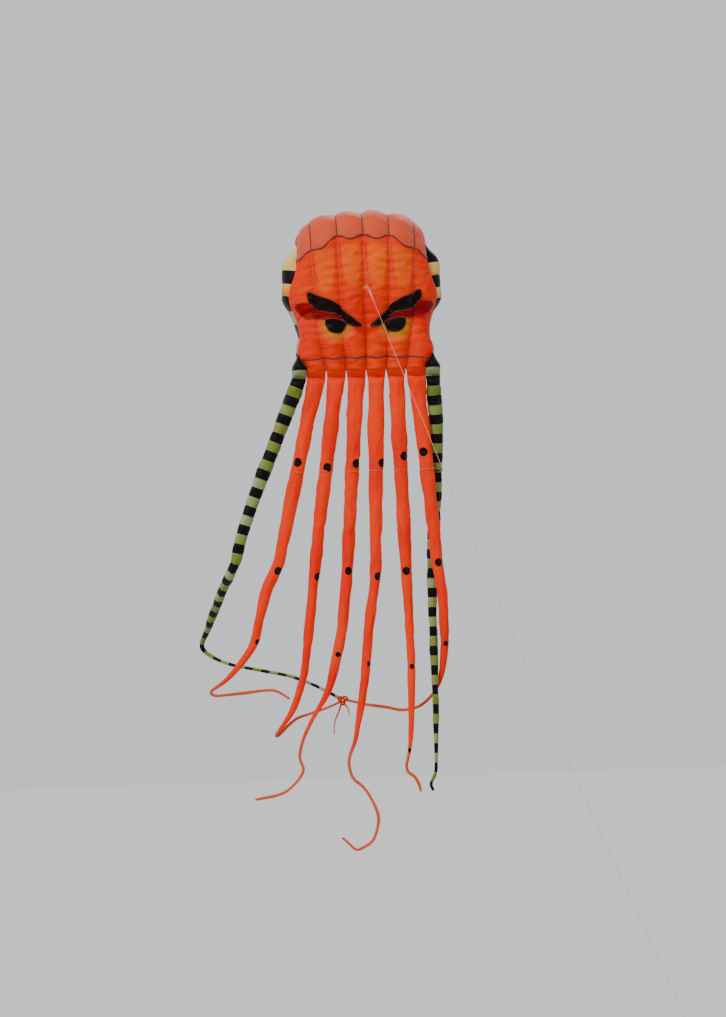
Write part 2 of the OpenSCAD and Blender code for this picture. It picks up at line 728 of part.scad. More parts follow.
module leg_1_upper() { leg_upper(0); }
module leg_2_upper() { leg_upper(1); }
module leg_3_upper() { leg_upper(2); }
module leg_4_upper() { leg_upper(3); }
module leg_5_upper() { leg_upper(4); }
module leg_6_upper() { leg_upper(5); }
module leg_1_lower() { leg_lower(0); }
module leg_2_lower() { leg_lower(1); }
module leg_3_lower() { leg_lower(2); }
module leg_4_lower() { leg_lower(3); }
module leg_5_lower() { leg_lower(4); }
module leg_6_lower() { leg_lower(5); }

// ---- Striped legs -----------------------------------------------------------------
// Alternate bands are sewn end to end. Each band is a short tapered tube.
stripe_root_x = 716;
stripe_joint_gap = 1;
left_upper_path = [
    [-stripe_root_x, root_y, pivot_z], [-1280, 670, -2270], [-1460, 720, knee_z]
];
right_upper_path = [
    [stripe_root_x, root_y, pivot_z], [745, 700, -1650], [680, 900, knee_z]
];
left_lower_path = [
    [-1460, 720, knee_z], [-1510, 830, -2960], [-1570, 1010, -3080], [-1630, 1220, -3220],
    [-1690, 1480, -3370], [-1750, 1720, -3530], [-1800, 1860, -3640], [-1810, 1900, -3720],
    [-1740, 1890, -3790], [-1610, 1810, -3870], [-1450, 1710, -3930], [-1290, 1600, -3970],
    [-1030, 1440, -4030], [-850, 1340, -4080], [-640, 1220, -4170], [-430, 1110, -4290],
    [-350, 1045, -4345]
];
right_lower_path = [
    [680, 900, knee_z], [668, 902, -3060], [664, 900, -3300], [660, 895, -3680],
    [660, 880, -4090], [658, 865, -4470], [650, 855, -4720], [642, 850, -5010],
    [632, 850, -5160], [600, 850, -5230], [570, 850, -5290], [600, 850, -5350]
];
// Radius of a striped lower leg against the share of its length
left_radii = [[0, 55], [0.18, 50], [0.36, 38], [0.46, 24], [0.54, 15], [1, 13]];
right_radii = [[0, 55], [0.15, 48], [0.5, 38], [0.8, 25], [0.9, 16], [1, 12]];

function path_lengths(p, i = 0, sum = 0) =
    i >= len(p) ? [] : concat([sum + (i > 0 ? norm(p[i] - p[i - 1]) : 0)],
        path_lengths(p, i + 1, sum + (i > 0 ? norm(p[i] - p[i - 1]) : 0)));
function path_at(p, along_len, s) =
    let (
        n = len(p) - 1,
        i = max([for (k = [0:n - 1]) if (k == 0 || along_len[k] <= s) k]),
        f = (s - along_len[i]) / (along_len[i + 1] - along_len[i])
    )
    mix3(p[i], p[i + 1], min(max(f, 0), 1));

// Bands of one colour along a path, from s0 to s1. first is 0 or 1 for the colour.
module bands(path, s0, s1, pitch, first, radius) {
    lens = path_lengths(path);
    count = round((s1 - s0) / pitch);
    step = (s1 - s0) / count;
    for (i = [first:2:count - 1]) {
        a = path_at(path, lens, s0 + i * step);
        b = path_at(path, lens, s0 + (i + 1) * step);
        ra = radius((s0 + i * step) / lens[len(lens) - 1]);
        rb = radius((s0 + (i + 1) * step) / lens[len(lens) - 1]);
        long = norm(b - a) - 2 * stripe_joint_gap;
        translate(a + unit(b - a) * stripe_joint_gap) along(b - a) difference() {
            cylinder(h = long, r1 = ra, r2 = rb, $fn = 48);
            translate([0, 0, -1])
                cylinder(h = long + 2, r1 = ra - cloth, r2 = rb - cloth, $fn = 48);
        }
    }
}

// A vented dome about a pivot, opening into the first band
module band_dome(pivot, ahead, r) {
    dome = [for (a = [asin(vent_r / r):10:80]) [r * sin(a), -r * cos(a)]];
    inner = [for (p = dome) p * (1 - cloth / r)];
    translate(pivot) along(ahead - pivot) rotate_extrude($fn = 64) polygon(concat(
        dome, [[r, 0], [r - cloth, 0]], [for (i = [len(inner) - 1:-1:0]) inner[i]]
    ));
}

module striped_upper(path, first) {
    dense = spline(path, 6);
    whole = path_lengths(dense);
    total = whole[len(whole) - 1];
    taper = function (q) mix3(stripe_root_r, stripe_knee_r, q);
    bands(dense, 0, total - knee_gap, band_len, first, taper);
    if (first == 0) band_dome(path[0], dense[1], stripe_root_r);
}

module striped_lower(path, radii, first) {
    dense = spline(path, 3);
    whole = path_lengths(dense);
    total = whole[len(whole) - 1];
    law = function (q) lookup(q, radii);
    bands(dense, 0, total, band_len, first, law);
    if (first == 0) band_dome(path[0], dense[1], radii[0][1]);
}

module striped_leg_left_upper_yellow() { color(olive) striped_upper(left_upper_path, 0); }
module striped_leg_left_upper_black() { color(black) striped_upper(left_upper_path, 1); }
module striped_leg_right_upper_yellow() { color(olive) striped_upper(right_upper_path, 0); }
module striped_leg_right_upper_black() { color(black) striped_upper(right_upper_path, 1); }
module striped_leg_left_lower_yellow() {
    color(olive) striped_lower(left_lower_path, left_radii, 0);
}
module striped_leg_left_lower_black() {
    color(black) striped_lower(left_lower_path, left_radii, 1);
}
module striped_leg_right_lower_yellow() {
    color(olive) striped_lower(right_lower_path, right_radii, 0);
}
module striped_leg_right_lower_black() {
    color(black) striped_lower(right_lower_path, right_radii, 1);
}

face_gore_1();
face_gore_2();
face_gore_3();
face_gore_4();
face_gore_5();
face_gore_6();
back_gores_inner();
back_gores_middle();
back_gores_outer();
intake_screens();
lip_tape();
hem_tape();
side_cell_left_yellow();
side_cell_left_black();
side_cell_right_yellow();
side_cell_right_black();
rib_centre();
ribs_inner();
ribs_middle();
ribs_outer();
eyebrow_left();
eyebrow_right();
eyelid_left();
eyelid_right();
pupil_left();
pupil_right();
eye_left();
eye_right();
bridle_tabs();
bridle_lines();
tow_ring();
snap_hook();
snap_gate();
swivel_eye();
line_knot();
flying_line();
line_end_loop();
leg_1_upper();
leg_2_upper();
leg_3_upper();
leg_4_upper();
leg_5_upper();
leg_6_upper();
leg_1_lower();
leg_2_lower();
leg_3_lower();
leg_4_lower();
leg_5_lower();
leg_6_lower();
striped_leg_left_upper_yellow();
striped_leg_left_upper_black();
striped_leg_left_lower_yellow();
striped_leg_left_lower_black();
striped_leg_right_upper_yellow();
striped_leg_right_upper_black();
striped_leg_right_lower_yellow();
striped_leg_right_lower_black();
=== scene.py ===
import math

import bpy
import numpy as np
from mathutils import Matrix, Vector
from mathutils.bvhtree import BVHTree
from mathutils.geometry import delaunay_2d_cdt


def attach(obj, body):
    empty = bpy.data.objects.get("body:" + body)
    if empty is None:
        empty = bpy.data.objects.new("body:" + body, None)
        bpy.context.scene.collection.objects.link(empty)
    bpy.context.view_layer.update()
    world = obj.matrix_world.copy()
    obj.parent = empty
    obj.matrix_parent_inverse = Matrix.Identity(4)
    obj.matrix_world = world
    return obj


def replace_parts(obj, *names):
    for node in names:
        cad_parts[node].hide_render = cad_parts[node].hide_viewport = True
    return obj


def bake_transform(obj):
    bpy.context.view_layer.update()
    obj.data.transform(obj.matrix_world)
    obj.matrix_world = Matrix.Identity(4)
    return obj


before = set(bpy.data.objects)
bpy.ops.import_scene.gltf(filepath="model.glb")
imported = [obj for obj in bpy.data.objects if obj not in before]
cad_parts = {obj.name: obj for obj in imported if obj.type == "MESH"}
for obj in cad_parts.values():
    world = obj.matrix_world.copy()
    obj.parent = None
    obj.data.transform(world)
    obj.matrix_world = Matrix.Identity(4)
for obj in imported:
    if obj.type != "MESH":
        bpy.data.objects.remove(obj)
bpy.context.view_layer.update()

SCENE = bpy.context.scene
TURN = 2 * math.pi


def v3(*a):
    return np.array(a, float)


def unit(v):
    return v / np.linalg.norm(v)


def units(rows):
    """An array of directions, each brought to length 1."""
    return rows / np.linalg.norm(rows, axis=-1)[..., None]


def add(name, data):
    """A new object in the scene."""
    ob = bpy.data.objects.new(name, data)
    SCENE.collection.objects.link(ob)
    return ob


# ---- camera: a long lens in front of the kite and below it, slightly tilted ----
CAMERA_AT = (-2.930, -35.628, -4.856)
ahead = unit(v3(0.07827, 0.99449, 0.06976))
right = v3(0.99655, -0.07611, -0.03307)
right = unit(right - ahead * (right @ ahead))
up = np.cross(right, ahead)
camera_data = bpy.data.cameras.new("camera")
camera_data.sensor_fit = "VERTICAL"
camera_data.sensor_height = 24.0
camera_data.lens = 80.1416
camera_data.clip_end = 600
camera = add("camera", camera_data)
camera_rows = [[right[i], up[i], -ahead[i], CAMERA_AT[i]] for i in range(3)]
camera.matrix_world = Matrix(camera_rows + [[0, 0, 0, 1]])
SCENE.camera = camera


# ---- small geometry kit ----
def catmull(points, steps):
    """A smooth curve through the points, with this many steps between neighbours."""
    p = np.array(points, float)
    last = len(p) - 1
    out = []
    for i in range(last):
        a, b, c, d = p[max(i - 1, 0)], p[i], p[min(i + 1, last)], p[min(i + 2, last)]
        for step in range(steps):
            f = step / steps
            square = (2 * a - 5 * b + 4 * c - d) * f * f
            cube = (3 * b - a - 3 * c + d) * f ** 3
            out.append(0.5 * (2 * b + (c - a) * f + square + cube))
    return np.array(out + [p[last]])


def lengths(p):
    """Distance along a path, at each of its points."""
    return np.concatenate([[0], np.cumsum(np.linalg.norm(np.diff(p[:, :3], axis=0), axis=1))])


def resample(p, step):
    s = lengths(p)
    count = max(2, int(round(s[-1] / step)))
    q = np.linspace(0, s[-1], count + 1)
    return np.stack([np.interp(q, s, p[:, k]) for k in range(p.shape[1])], 1)


def frames_along(path):
    """Direction of a path at each point, with two axes across it that don't twist."""
    along = units(np.gradient(path, axis=0))
    a = np.cross(along[0], v3(0, 1, 0))
    if np.linalg.norm(a) < 1e-3:
        a = v3(1, 0, 0)
    a = unit(a)
    first, second = [], []
    for direction in along:
        a = unit(a - direction * (a @ direction))
        first.append(a)
        second.append(np.cross(a, direction))
    return along, np.array(first), np.array(second)


class Waves:
    """Smooth seeded noise in any number of coordinates, about -1 to 1."""

    def __init__(self, seed, dims, low, high, count=14):
        draw = np.random.default_rng(seed)
        direction = units(draw.normal(size=(count, dims)))
        self.k = direction * draw.uniform(low, high, count)[:, None] * TURN
        self.phase = draw.uniform(0, TURN, count)
        self.spread = math.sqrt(count / 2) * 1.6

    def __call__(self, *q):
        q = np.stack(np.broadcast_arrays(*q), -1)
        return np.sin(q @ self.k.T + self.phase).sum(-1) / self.spread


def new_mesh(name, verts, faces, uv=None, mats=(), mat_index=None, tint=None):
    mesh = bpy.data.meshes.new(name)
    mesh.from_pydata([tuple(map(float, v)) for v in verts], [], [tuple(map(int, f)) for f in faces])
    if uv is not None:
        layer = mesh.uv_layers.new(name="UVMap")
        corner = np.zeros(len(mesh.loops), int)
        mesh.loops.foreach_get("vertex_index", corner)
        layer.data.foreach_set("uv", np.asarray(uv, float)[corner].ravel())
    if tint is not None:
        layer = mesh.color_attributes.new("tint", "FLOAT_COLOR", "POINT")
        rgba = np.concatenate([np.asarray(tint, float), np.ones((len(tint), 1))], 1)
        layer.data.foreach_set("color", rgba.ravel())
    for mat in mats:
        mesh.materials.append(mat)
    if mat_index is not None:
        mesh.polygons.foreach_set("material_index", np.asarray(mat_index, int))
    mesh.polygons.foreach_set("use_smooth", [True] * len(mesh.polygons))
    mesh.update()
    return add(name, mesh)


def grid_faces(rows, cols, closed=False, flip=False):
    faces = []
    for r in range(rows - 1):
        for c in range(cols if closed else cols - 1):
            c2 = (c + 1) % cols
            quad = (r * cols + c, r * cols + c2, (r + 1) * cols + c2, (r + 1) * cols + c)
            faces.append(quad[::-1] if flip else quad)
    return faces


def ring_uv(across, along):
    """UV of a grid whose columns have fixed places across, and whose rows lie along in metres."""
    return np.stack(np.broadcast_arrays(np.array(across)[None], along[:, None]), -1).reshape(-1, 2)


def round_tube(name, path, radius, sides, mat, cap=True):
    path = np.array(path, float)
    r = np.broadcast_to(radius, len(path))[:, None, None]
    _, ax, ay = frames_along(path)
    a = np.linspace(0, TURN, sides, endpoint=False)
    out = np.cos(a)[None, :, None] * ax[:, None] + np.sin(a)[None, :, None] * ay[:, None]
    verts = (path[:, None] + r * out).reshape(-1, 3)
    faces = grid_faces(len(path), sides, closed=True, flip=True)
    if cap:
        end = (len(path) - 1) * sides
        faces += [tuple(range(sides)), tuple(range(end, end + sides))[::-1]]
    return new_mesh(name, verts, faces, ring_uv(a / TURN, lengths(path)), [mat])


def cord_curve(name, points, diameter, mat):
    curve = bpy.data.curves.new(name, "CURVE")
    curve.dimensions = "3D"
    curve.bevel_depth = diameter / 2
    curve.bevel_resolution = 3
    spline = curve.splines.new("POLY")
    spline.points.add(len(points) - 1)
    for spot, point in zip(spline.points, points):
        spot.co = (*point, 1)
    curve.materials.append(mat)
    return add(name, curve)


# ---- colours and materials ----
def to_lin(c):
    """Linear colours from sRGB ones of 0 to 255."""
    c = np.clip(np.asarray(c, float) / 255, 0, 1)
    return np.where(c <= 0.04045, c / 12.92, ((c + 0.055) / 1.055) ** 2.4)


def rgba(colour, share=1.0):
    """One linear colour with alpha, darkened or lightened by the share."""
    return tuple(min(1.0, share * x) for x in to_lin(colour)) + (1.0,)


def srgb_mix(a, b, f):
    """From colour a, or an array of colours, towards colour b by f, in sRGB steps."""
    f = np.asarray(f, float)
    a = np.broadcast_to(np.asarray(a, float), f.shape + (3,))
    return a * (1 - f[..., None]) + np.asarray(b, float) * f[..., None]


class Shader:
    """A material's node tree, with short calls to add nodes and link them."""

    def __init__(self, name):
        self.material = bpy.data.materials.new(name)
        self.material.use_nodes = True
        self.tree = self.material.node_tree
        self.tree.nodes.clear()
        self.out = self.node("OutputMaterial")

    def node(self, kind, **settings):
        node = self.tree.nodes.new("ShaderNode" + kind)
        for key, value in settings.items():
            if key.startswith("i_"):
                node.inputs[key[2:].replace("_", " ")].default_value = value
            else:
                setattr(node, key, value)
        return node

    def put(self, value, socket):
        """Links an output to a socket, or sets the socket to a number or a colour."""
        if isinstance(value, (int, float, tuple)):
            socket.default_value = value
        else:
            self.tree.links.new(value, socket)

    def math(self, operation, *values):
        node = self.node("Math", operation=operation)
        for value, socket in zip(values, node.inputs):
            self.put(value, socket)
        return node.outputs[0]

    def mix(self, share, a, b):
        node = self.node("Mix", data_type="RGBA")
        for value, socket in ((share, 0), (a, 6), (b, 7)):
            self.put(value, node.inputs[socket])
        return node.outputs[2]

    def pattern(self, kind, **settings):
        """A texture in the object's own coordinates."""
        node = self.node(kind, **settings)
        self.put(self.node("TexCoord").outputs["Object"], node.inputs["Vector"])
        return node.outputs["Fac"]

    def noise(self, scale, detail, rough=0.5, distortion=0.0):
        return self.pattern("TexNoise", i_Scale=scale, i_Detail=detail, i_Roughness=rough,
                            i_Distortion=distortion)

    def uv(self, axis):
        split = self.node("SeparateXYZ")
        self.put(self.node("UVMap").outputs[0], split.inputs[0])
        return split.outputs[axis]

    def repeat(self, axis, pitch):
        """Runs from 0 to 1 again and again along one UV axis."""
        return self.math("FRACT", self.math("DIVIDE", self.uv(axis), pitch))

    def bump(self, height, strength, depth, invert=False):
        node = self.node("Bump", i_Strength=strength, i_Distance=depth, invert=invert)
        self.put(height, node.inputs["Height"])
        return node.outputs[0]

    def finish(self, colour, normal, rough, through=0.0, through_normal=None, **settings):
        """The surface, with a share of the light passing through it."""
        skin = self.node("BsdfPrincipled", **settings)
        for value, key in ((colour, "Base Color"), (normal, "Normal"), (rough, "Roughness")):
            self.put(value, skin.inputs[key])
        shader = skin.outputs[0]
        if through:
            thin = self.node("BsdfTranslucent")
            self.put(colour, thin.inputs["Color"])
            if through_normal is not None:
                self.put(through_normal, thin.inputs["Normal"])
            both = self.node("MixShader")
            for value, socket in zip((through, shader, thin.outputs[0]), both.inputs):
                self.put(value, socket)
            shader = both.outputs[0]
        self.put(shader, self.out.inputs[0])
        return self.material


def fabric(name, colour, tint=False, translucent=0.3, rough=0.45, weave=0.007, crinkle=1.0,
           sheen=0.05, spots=0.10):
    """Ripstop nylon: slow mottling, a ripstop grid, crinkles in the bump, and light through the cloth."""
    k = Shader(name)
    slow = k.noise(1.9, 3.0, 0.55)
    fine = k.noise(21.0, 4.0, 0.6)
    base = k.node("HueSaturation")
    k.put(k.node("VertexColor", layer_name="tint").outputs[0] if tint else rgba(colour), base.inputs["Color"])
    mottle = k.math("MULTIPLY_ADD", slow, spots * 4, 1 - spots * 2)
    speckle = k.math("MULTIPLY_ADD", fine, spots * 1.6, 1 - spots * 0.8)
    k.put(k.math("MULTIPLY", mottle, speckle), base.inputs["Value"])
    k.put(k.math("MULTIPLY_ADD", slow, 0.02, 0.49), base.inputs["Hue"])
    threads = [k.math("LESS_THAN", k.repeat(axis, weave), 0.12) for axis in (0, 1)]
    grid = k.math("MAXIMUM", *threads)
    colour_out = k.mix(k.math("MULTIPLY", grid, 0.10), base.outputs[0], rgba(colour, 0.45))
    ridge = k.math("ABSOLUTE", k.math("SUBTRACT", k.noise(9.0, 5.0, 0.62, 0.8), 0.5))
    height = k.math("ADD", k.math("MULTIPLY", ridge, 0.03 * crinkle), k.math("MULTIPLY", grid, 0.0004))
    normal = k.bump(height, 0.55, 1.0)
    gloss = k.math("MULTIPLY_ADD", fine, 0.16, rough - 0.08)
    return k.finish(colour_out, normal, gloss, translucent, normal,
                    i_Sheen_Weight=sheen, i_Sheen_Roughness=0.45, i_Specular_IOR_Level=0.08)


def gauze(name, colour):
    """Fine open mesh over the intakes: a grid of threads with darker gaps."""
    k = Shader(name)
    gaps = [k.math("GREATER_THAN", k.repeat(axis, 0.004), 0.45) for axis in (0, 1)]
    hole = k.math("MULTIPLY", *gaps)
    tone = k.mix(k.noise(3.0, 4.0), rgba(colour, 0.85), rgba(colour, 1.12))
    colour_out = k.mix(k.math("MULTIPLY", hole, 0.45), tone, rgba(colour, 0.5))
    return k.finish(colour_out, k.bump(hole, 0.4, 0.001, invert=True), 0.6, 0.45, i_Sheen_Weight=0.4)


def stitched(name, colour, thread, pitch=0.016, rough=0.75):
    """Woven tape with a row of stitches. UV x runs across from 0 to 1, y along in metres."""
    k = Shader(name)
    along = k.math("LESS_THAN", k.repeat(1, pitch), 0.62)
    middle = k.math("LESS_THAN", k.math("ABSOLUTE", k.math("SUBTRACT", k.uv(0), 0.5)), 0.11)
    stitch = k.math("MULTIPLY", along, middle)
    weave = k.math("SINE", k.math("MULTIPLY", k.uv(1), TURN / 0.003))
    tone = k.mix(k.noise(30.0, 3.0), rgba(colour, 0.7), rgba(colour))
    normal = k.bump(k.math("ADD", k.math("MULTIPLY", weave, 0.3), stitch), 0.6, 0.0008)
    return k.finish(k.mix(stitch, tone, rgba(thread)), normal, rough, i_Sheen_Weight=0.3)


def cordage(name, colour, fleck):
    """Braided cord, with strands that cross it on a slant."""
    k = Shader(name)
    strands = k.pattern("TexWave", wave_type="BANDS", bands_direction="DIAGONAL",
                        i_Scale=60.0, i_Distortion=1.5, i_Detail=1.0)
    two_tone = k.mix(strands, rgba(colour), rgba(fleck))
    colour_out = k.mix(k.math("MULTIPLY", k.noise(90.0, 3.0), 0.35), two_tone, rgba(colour, 0.6))
    return k.finish(colour_out, k.bump(strands, 0.7, 0.0008), 0.65, i_Sheen_Weight=0.3)


def steel(name):
    """Stainless steel, slightly blotched and finely pitted."""
    k = Shader(name)
    fine = k.noise(220.0, 5.0, 0.7)
    tone = k.mix(k.noise(35.0, 2.0), (0.50, 0.50, 0.51, 1), (0.74, 0.74, 0.75, 1))
    gloss = k.math("MULTIPLY_ADD", fine, 0.22, 0.14)
    return k.finish(tone, k.bump(fine, 0.12, 0.0003), gloss, i_Metallic=1.0)


ORANGE = (235, 42, 0)
M_FACE = fabric("face_nylon", ORANGE, tint=True)
M_BACK = fabric("back_nylon", ORANGE, tint=True)
M_LEG = fabric("leg_nylon", ORANGE, tint=True, translucent=0.28, crinkle=0.8)
M_RIB = fabric("rib_nylon", (232, 60, 4), translucent=0.25)
M_BLACK = fabric("black_nylon", (9, 8, 12), translucent=0.03, rough=0.4, crinkle=0.8, sheen=0.04, spots=0.18)
M_OLIVE = fabric("olive_nylon", (128, 140, 52), tint=True, crinkle=0.8)
M_YELLOW = fabric("yellow_nylon", (250, 212, 96), tint=True, translucent=0.35, crinkle=0.8)
M_BROW = fabric("brow_nylon", (22, 0, 3), translucent=0.03, rough=0.42, crinkle=0.6, sheen=0.04, spots=0.18)
M_LID = fabric("lid_nylon", (138, 0, 0), translucent=0.12, crinkle=0.6, sheen=0.02)
M_EYE = fabric("eye_nylon", (205, 120, 30), tint=True, translucent=0.22, crinkle=0.6)
M_GAUZE = gauze("intake_gauze", (255, 92, 30))
M_LIP = stitched("dark_red_tape", (84, 4, 3), (130, 24, 12))
M_SEAM = stitched("seam_tape", (236, 44, 0), (250, 90, 30), rough=0.6)
M_THREAD = stitched("edge_stitch", (96, 8, 4), (150, 36, 16), pitch=0.02)
M_TAB = fabric("tab_webbing", (255, 120, 84), translucent=0.05, weave=0.003, crinkle=0.2)
M_TAB_PLAIN = fabric("tab_webbing_orange", (225, 50, 2), translucent=0.05, weave=0.003, crinkle=0.2)
M_CORD = cordage("line_braid", (214, 116, 78), (240, 178, 140))
M_BRIDLE = cordage("bridle_braid", (215, 45, 4), (235, 85, 30))
M_STEEL = steel("stainless_steel")

# ---- flying line (the one free cord), with its bends in mm ----
LINE_END = v3(2950, -2050, -8150) / 1000
LINE_START_AT, LINE_STOP_SHARE, LINE_D = 0.1601, 0.985, 0.005
LINE_BENDS = (
    (270, -182, -790), (540, -362, -1570), (820, -550, -2390), (1110, -745, -3210), (1405, -950, -4030),
    (1705, -1160, -4850), (2010, -1380, -5670), (2320, -1602, -6480), (2630, -1823, -7290))
line_dir = unit(LINE_END)
ring_axis = unit(np.cross(line_dir, v3(0, 1, 0)))
line_bends = [v3(*bend) / 1000 for bend in LINE_BENDS]
line_path = catmull([line_dir * LINE_START_AT] + line_bends + [LINE_END * LINE_STOP_SHARE], 6)
flying = cord_curve("flying_line_braid", line_path, LINE_D, M_CORD)
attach(flying, "line")
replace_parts(flying, "flying_line")


def repaint(node, mat):
    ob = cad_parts[node]
    for slot in ob.material_slots:
        slot.material = mat
    if not ob.material_slots:
        ob.data.materials.append(mat)


REPAINTED = (
    (M_STEEL, ("tow_ring", "snap_hook", "snap_gate", "swivel_eye")),
    (M_CORD, ("line_knot", "line_end_loop")),
    (M_RIB, ("rib_centre", "ribs_inner", "ribs_middle", "ribs_outer")))
for mat, nodes in REPAINTED:
    for node in nodes:
        repaint(node, mat)

# ---- head surface: the CAD's own outlines, in mm ----
HEAD_H, CROWN_Z, ROOT_Y, HALF_DEPTH = 1690, 870, 540, 328
CELL_W, CELL_ROOT_W, CELL_BULGE, CORNER_DROP = 281, 214, 45, 300
CROTCH_Z = CROWN_Z - HEAD_H
CROWN_Y = ROOT_Y + 80
SEAM_ROOT_HALF, OUTER_THINNING, OUTER_SWEEP = 30, 0.45, 140
LIP_T, HEM_T, CROWN_T = 0.152, 0.917, 2e-6


def smooth(a, b, x):
    q = np.clip((x - a) / (b - a), 0, 1)
    return q * q * (3 - 2 * q)


def bump(c, w, x):
    return np.exp(-(((x - c) / w) ** 2))


def seam_half(t):
    return SEAM_ROOT_HALF * t + HALF_DEPTH * 2.62 * np.sqrt(t) * (1 - t) ** 1.1


def mid_y(t):
    return CROWN_Y - 80 * t + 90 * np.sin(np.pi * t)


def face_half_w(t):
    return 690 + 105 * bump(0.42, 0.17, t) + 40 * bump(0.85, 0.07, t) - 58 * smooth(0.9, 1, t)


def outer_half_w(t):
    swell = 10 + 140 * smooth(0, 0.16, t) - 85 * smooth(0.16, 0.42, t)
    return face_half_w(t) + swell - 55 * smooth(0.42, 0.56, t) + 155 * smooth(0.88, 1, t)


def outward(k):
    """Share of the outermost seam's set, for seam k of -3 to 3."""
    return (abs(k) / 3) ** 3


def seam_x(k, t):
    return k * (CELL_W - (CELL_W - CELL_ROOT_W) * t * t) if abs(k) < 3 else np.sign(k) * face_half_w(t)


def seam_z(k, t):
    return CROTCH_Z + (1 - t) * (HEAD_H - CORNER_DROP * outward(k))


def seam_mid_y(k, t):
    return mid_y(t) + OUTER_SWEEP * outward(k) * (1 - smooth(0.55, 0.95, t))


def seam_depth(k, t):
    return seam_half(t) * (1 - OUTER_THINNING * outward(k))


def seam_point(k, t, side):
    """side is -1 on the face and +1 on the back; t below 0 is over the crown."""
    s = np.where(t < 0, -side, side)
    q = np.abs(t)
    return np.stack([seam_x(k, q), seam_mid_y(k, q) + s * seam_depth(k, q), seam_z(k, q)], -1)


def skin_normal(k, t, side):
    gap = 0.006
    above, below = t - gap, np.minimum(t + gap, 1)
    across = seam_point(k + 1, t, side) - seam_point(k, t, side)
    down = sum(seam_point(seam, below, side) - seam_point(seam, above, side) for seam in (k, k + 1))
    return units(np.cross(down, across) * -side)


W_BULK = Waves(3, 3, 1.2, 3.2)
W_FINE = Waves(4, 3, 4, 9)
W_CREASE = Waves(5, 3, 5.5, 12)
SEAM_WAVES = {k: (Waves(20 + k, 1, 5, 11, 9), Waves(50 + k, 1, 13, 24, 9)) for k in range(-3, 4)}
CLOTH_LEN = 1.9


def puckers(seam, d, t, side):
    """Gathers at a seam, in mm, at the distance d from it: wide ones, with short ones close to it."""
    wide, short = SEAM_WAVES[seam]
    away = np.clip(d / 26, 0, 1) * np.exp(-d / 85)
    near = np.clip(d / 10, 0, 1) * np.exp(-d / 32)
    s = t * CLOTH_LEN + 0.25 * d / 1000
    return 9.5 * away * wide(s + side * 3.1) + 5.5 * near * short(s + side * 1.7)


def tow_star(x, z):
    """Folds that run out from the tow point over the face, in mm, for x and z in metres."""
    r = np.hypot(x, z) + 1e-6
    return 8.0 * np.exp(-r / 0.30) * np.cos(np.arctan2(x, -z) * 9 + 0.6) * smooth(0.02, 0.12, r)


def skin(c, f, t, side, gain=1.0, recess=0.0):
    """Points of cell c in metres: the cell's bulge with puckers at its seams, creases and slow waves."""
    left, far = seam_point(c, t, side), seam_point(c + 1, t, side)
    flat = left + (far - left) * f[..., None]
    width = np.linalg.norm(far - left, axis=-1)
    x, y, z = np.moveaxis(flat / 1000, -1, 0)
    lift = (CELL_BULGE + 30 * t * t) * 1.12 * np.sin(np.pi * np.clip(f, 0, 1)) ** 0.72
    lift = lift + gain * (puckers(c, f * width, t, side) + puckers(c + 1, (1 - f) * width, t, side))
    inside_seams = np.clip(np.minimum(f, 1 - f) * 6, 0, 1)
    creased = 0.35 + smooth(0.16, 0.24, t) * (1 - smooth(0.45, 0.6, t))
    folds = 5.5 * (0.5 - np.abs(W_CREASE(x * 0.45, y * 0.6, z))) * creased
    lift = lift + gain * inside_seams * (folds + 7.0 * W_BULK(x, y, z) + 2.2 * W_FINE(x, y, z))
    if side < 0:
        lift = lift + inside_seams * tow_star(x, z + 0.02)
    return (flat + skin_normal(c, t, side) * (lift - recess)[..., None]) / 1000


def crown_line(u):
    return np.full_like(u, CROWN_T)


def lip_line(u):
    droop = 0.045 * smooth(1, 2, abs(u)) - 0.05 * smooth(2, 3, abs(u))
    return LIP_T + droop + 0.03 * np.sin(np.pi * u) ** 2


def hem_line(u):
    return HEM_T + 0.006 * np.sin(np.pi * u) ** 2


def foot_line(u):
    return np.ones_like(u)


def face_tint(c, f, t):
    """Painted light: yellow-orange where light comes through the forehead. Painted shade: redder along the
    ribs and darker right at the seams. Redder low on the face.
    """
    d = np.minimum(f, 1 - f)
    colour = srgb_mix((250, 58, 0), (244, 50, 0), smooth(0.5, 0.85, t))
    if -2 <= c <= 1:
        # painted light: the inner forehead cells glow yellow-orange where light comes through them, but not
        # along the ribs
        pull = 0.10 + 0.16 * smooth(0.3, 0.52, t)
        painted_glow = smooth(0.19, 0.25, t) * (1 - smooth(0.42, 0.54, t)) * smooth(pull, pull + 0.06, d)
        colour = srgb_mix(colour, (255, 98, 0), painted_glow)
    # painted shade: darker next to the seams, between the cells
    return to_lin(colour * (1 - 0.12 * np.exp(-d / 0.03))[..., None])


def back_tint(c, f, t):
    """Orange, with painted shade darker at the seams."""
    return to_lin(srgb_mix((246, 54, 0), (214, 36, 0), np.exp(-np.minimum(f, 1 - f) / 0.04)))


COLS = 26


def skin_piece(name, c, side, top, bottom, rows, mat, node, tint=None, gain=1.0, recess=0.0, power=1.0):
    """One cell's panel between two lines, with columns closer at its seams and rows closer at the top."""
    u = np.linspace(0, 1, COLS)
    f = 0.5 - 0.5 * np.cos(np.pi * u) * 0.55 - 0.5 * (1 - 2 * u) * 0.45
    down = np.linspace(0, 1, rows)[:, None] ** power
    t = top(c + f)[None] + (bottom(c + f) - top(c + f))[None] * down
    across = np.broadcast_to(f, (rows, COLS))
    v = skin(c, across, t, side, gain, recess)
    uv = np.stack([across * 0.26, t * 1.75], -1).reshape(-1, 2)
    colours = None if tint is None else tint(c, across, t).reshape(-1, 3)
    ob = new_mesh(name, v.reshape(-1, 3), grid_faces(rows, COLS, flip=side < 0), uv, [mat], tint=colours)
    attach(ob, "head")
    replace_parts(ob, node)
    return ob, v, t


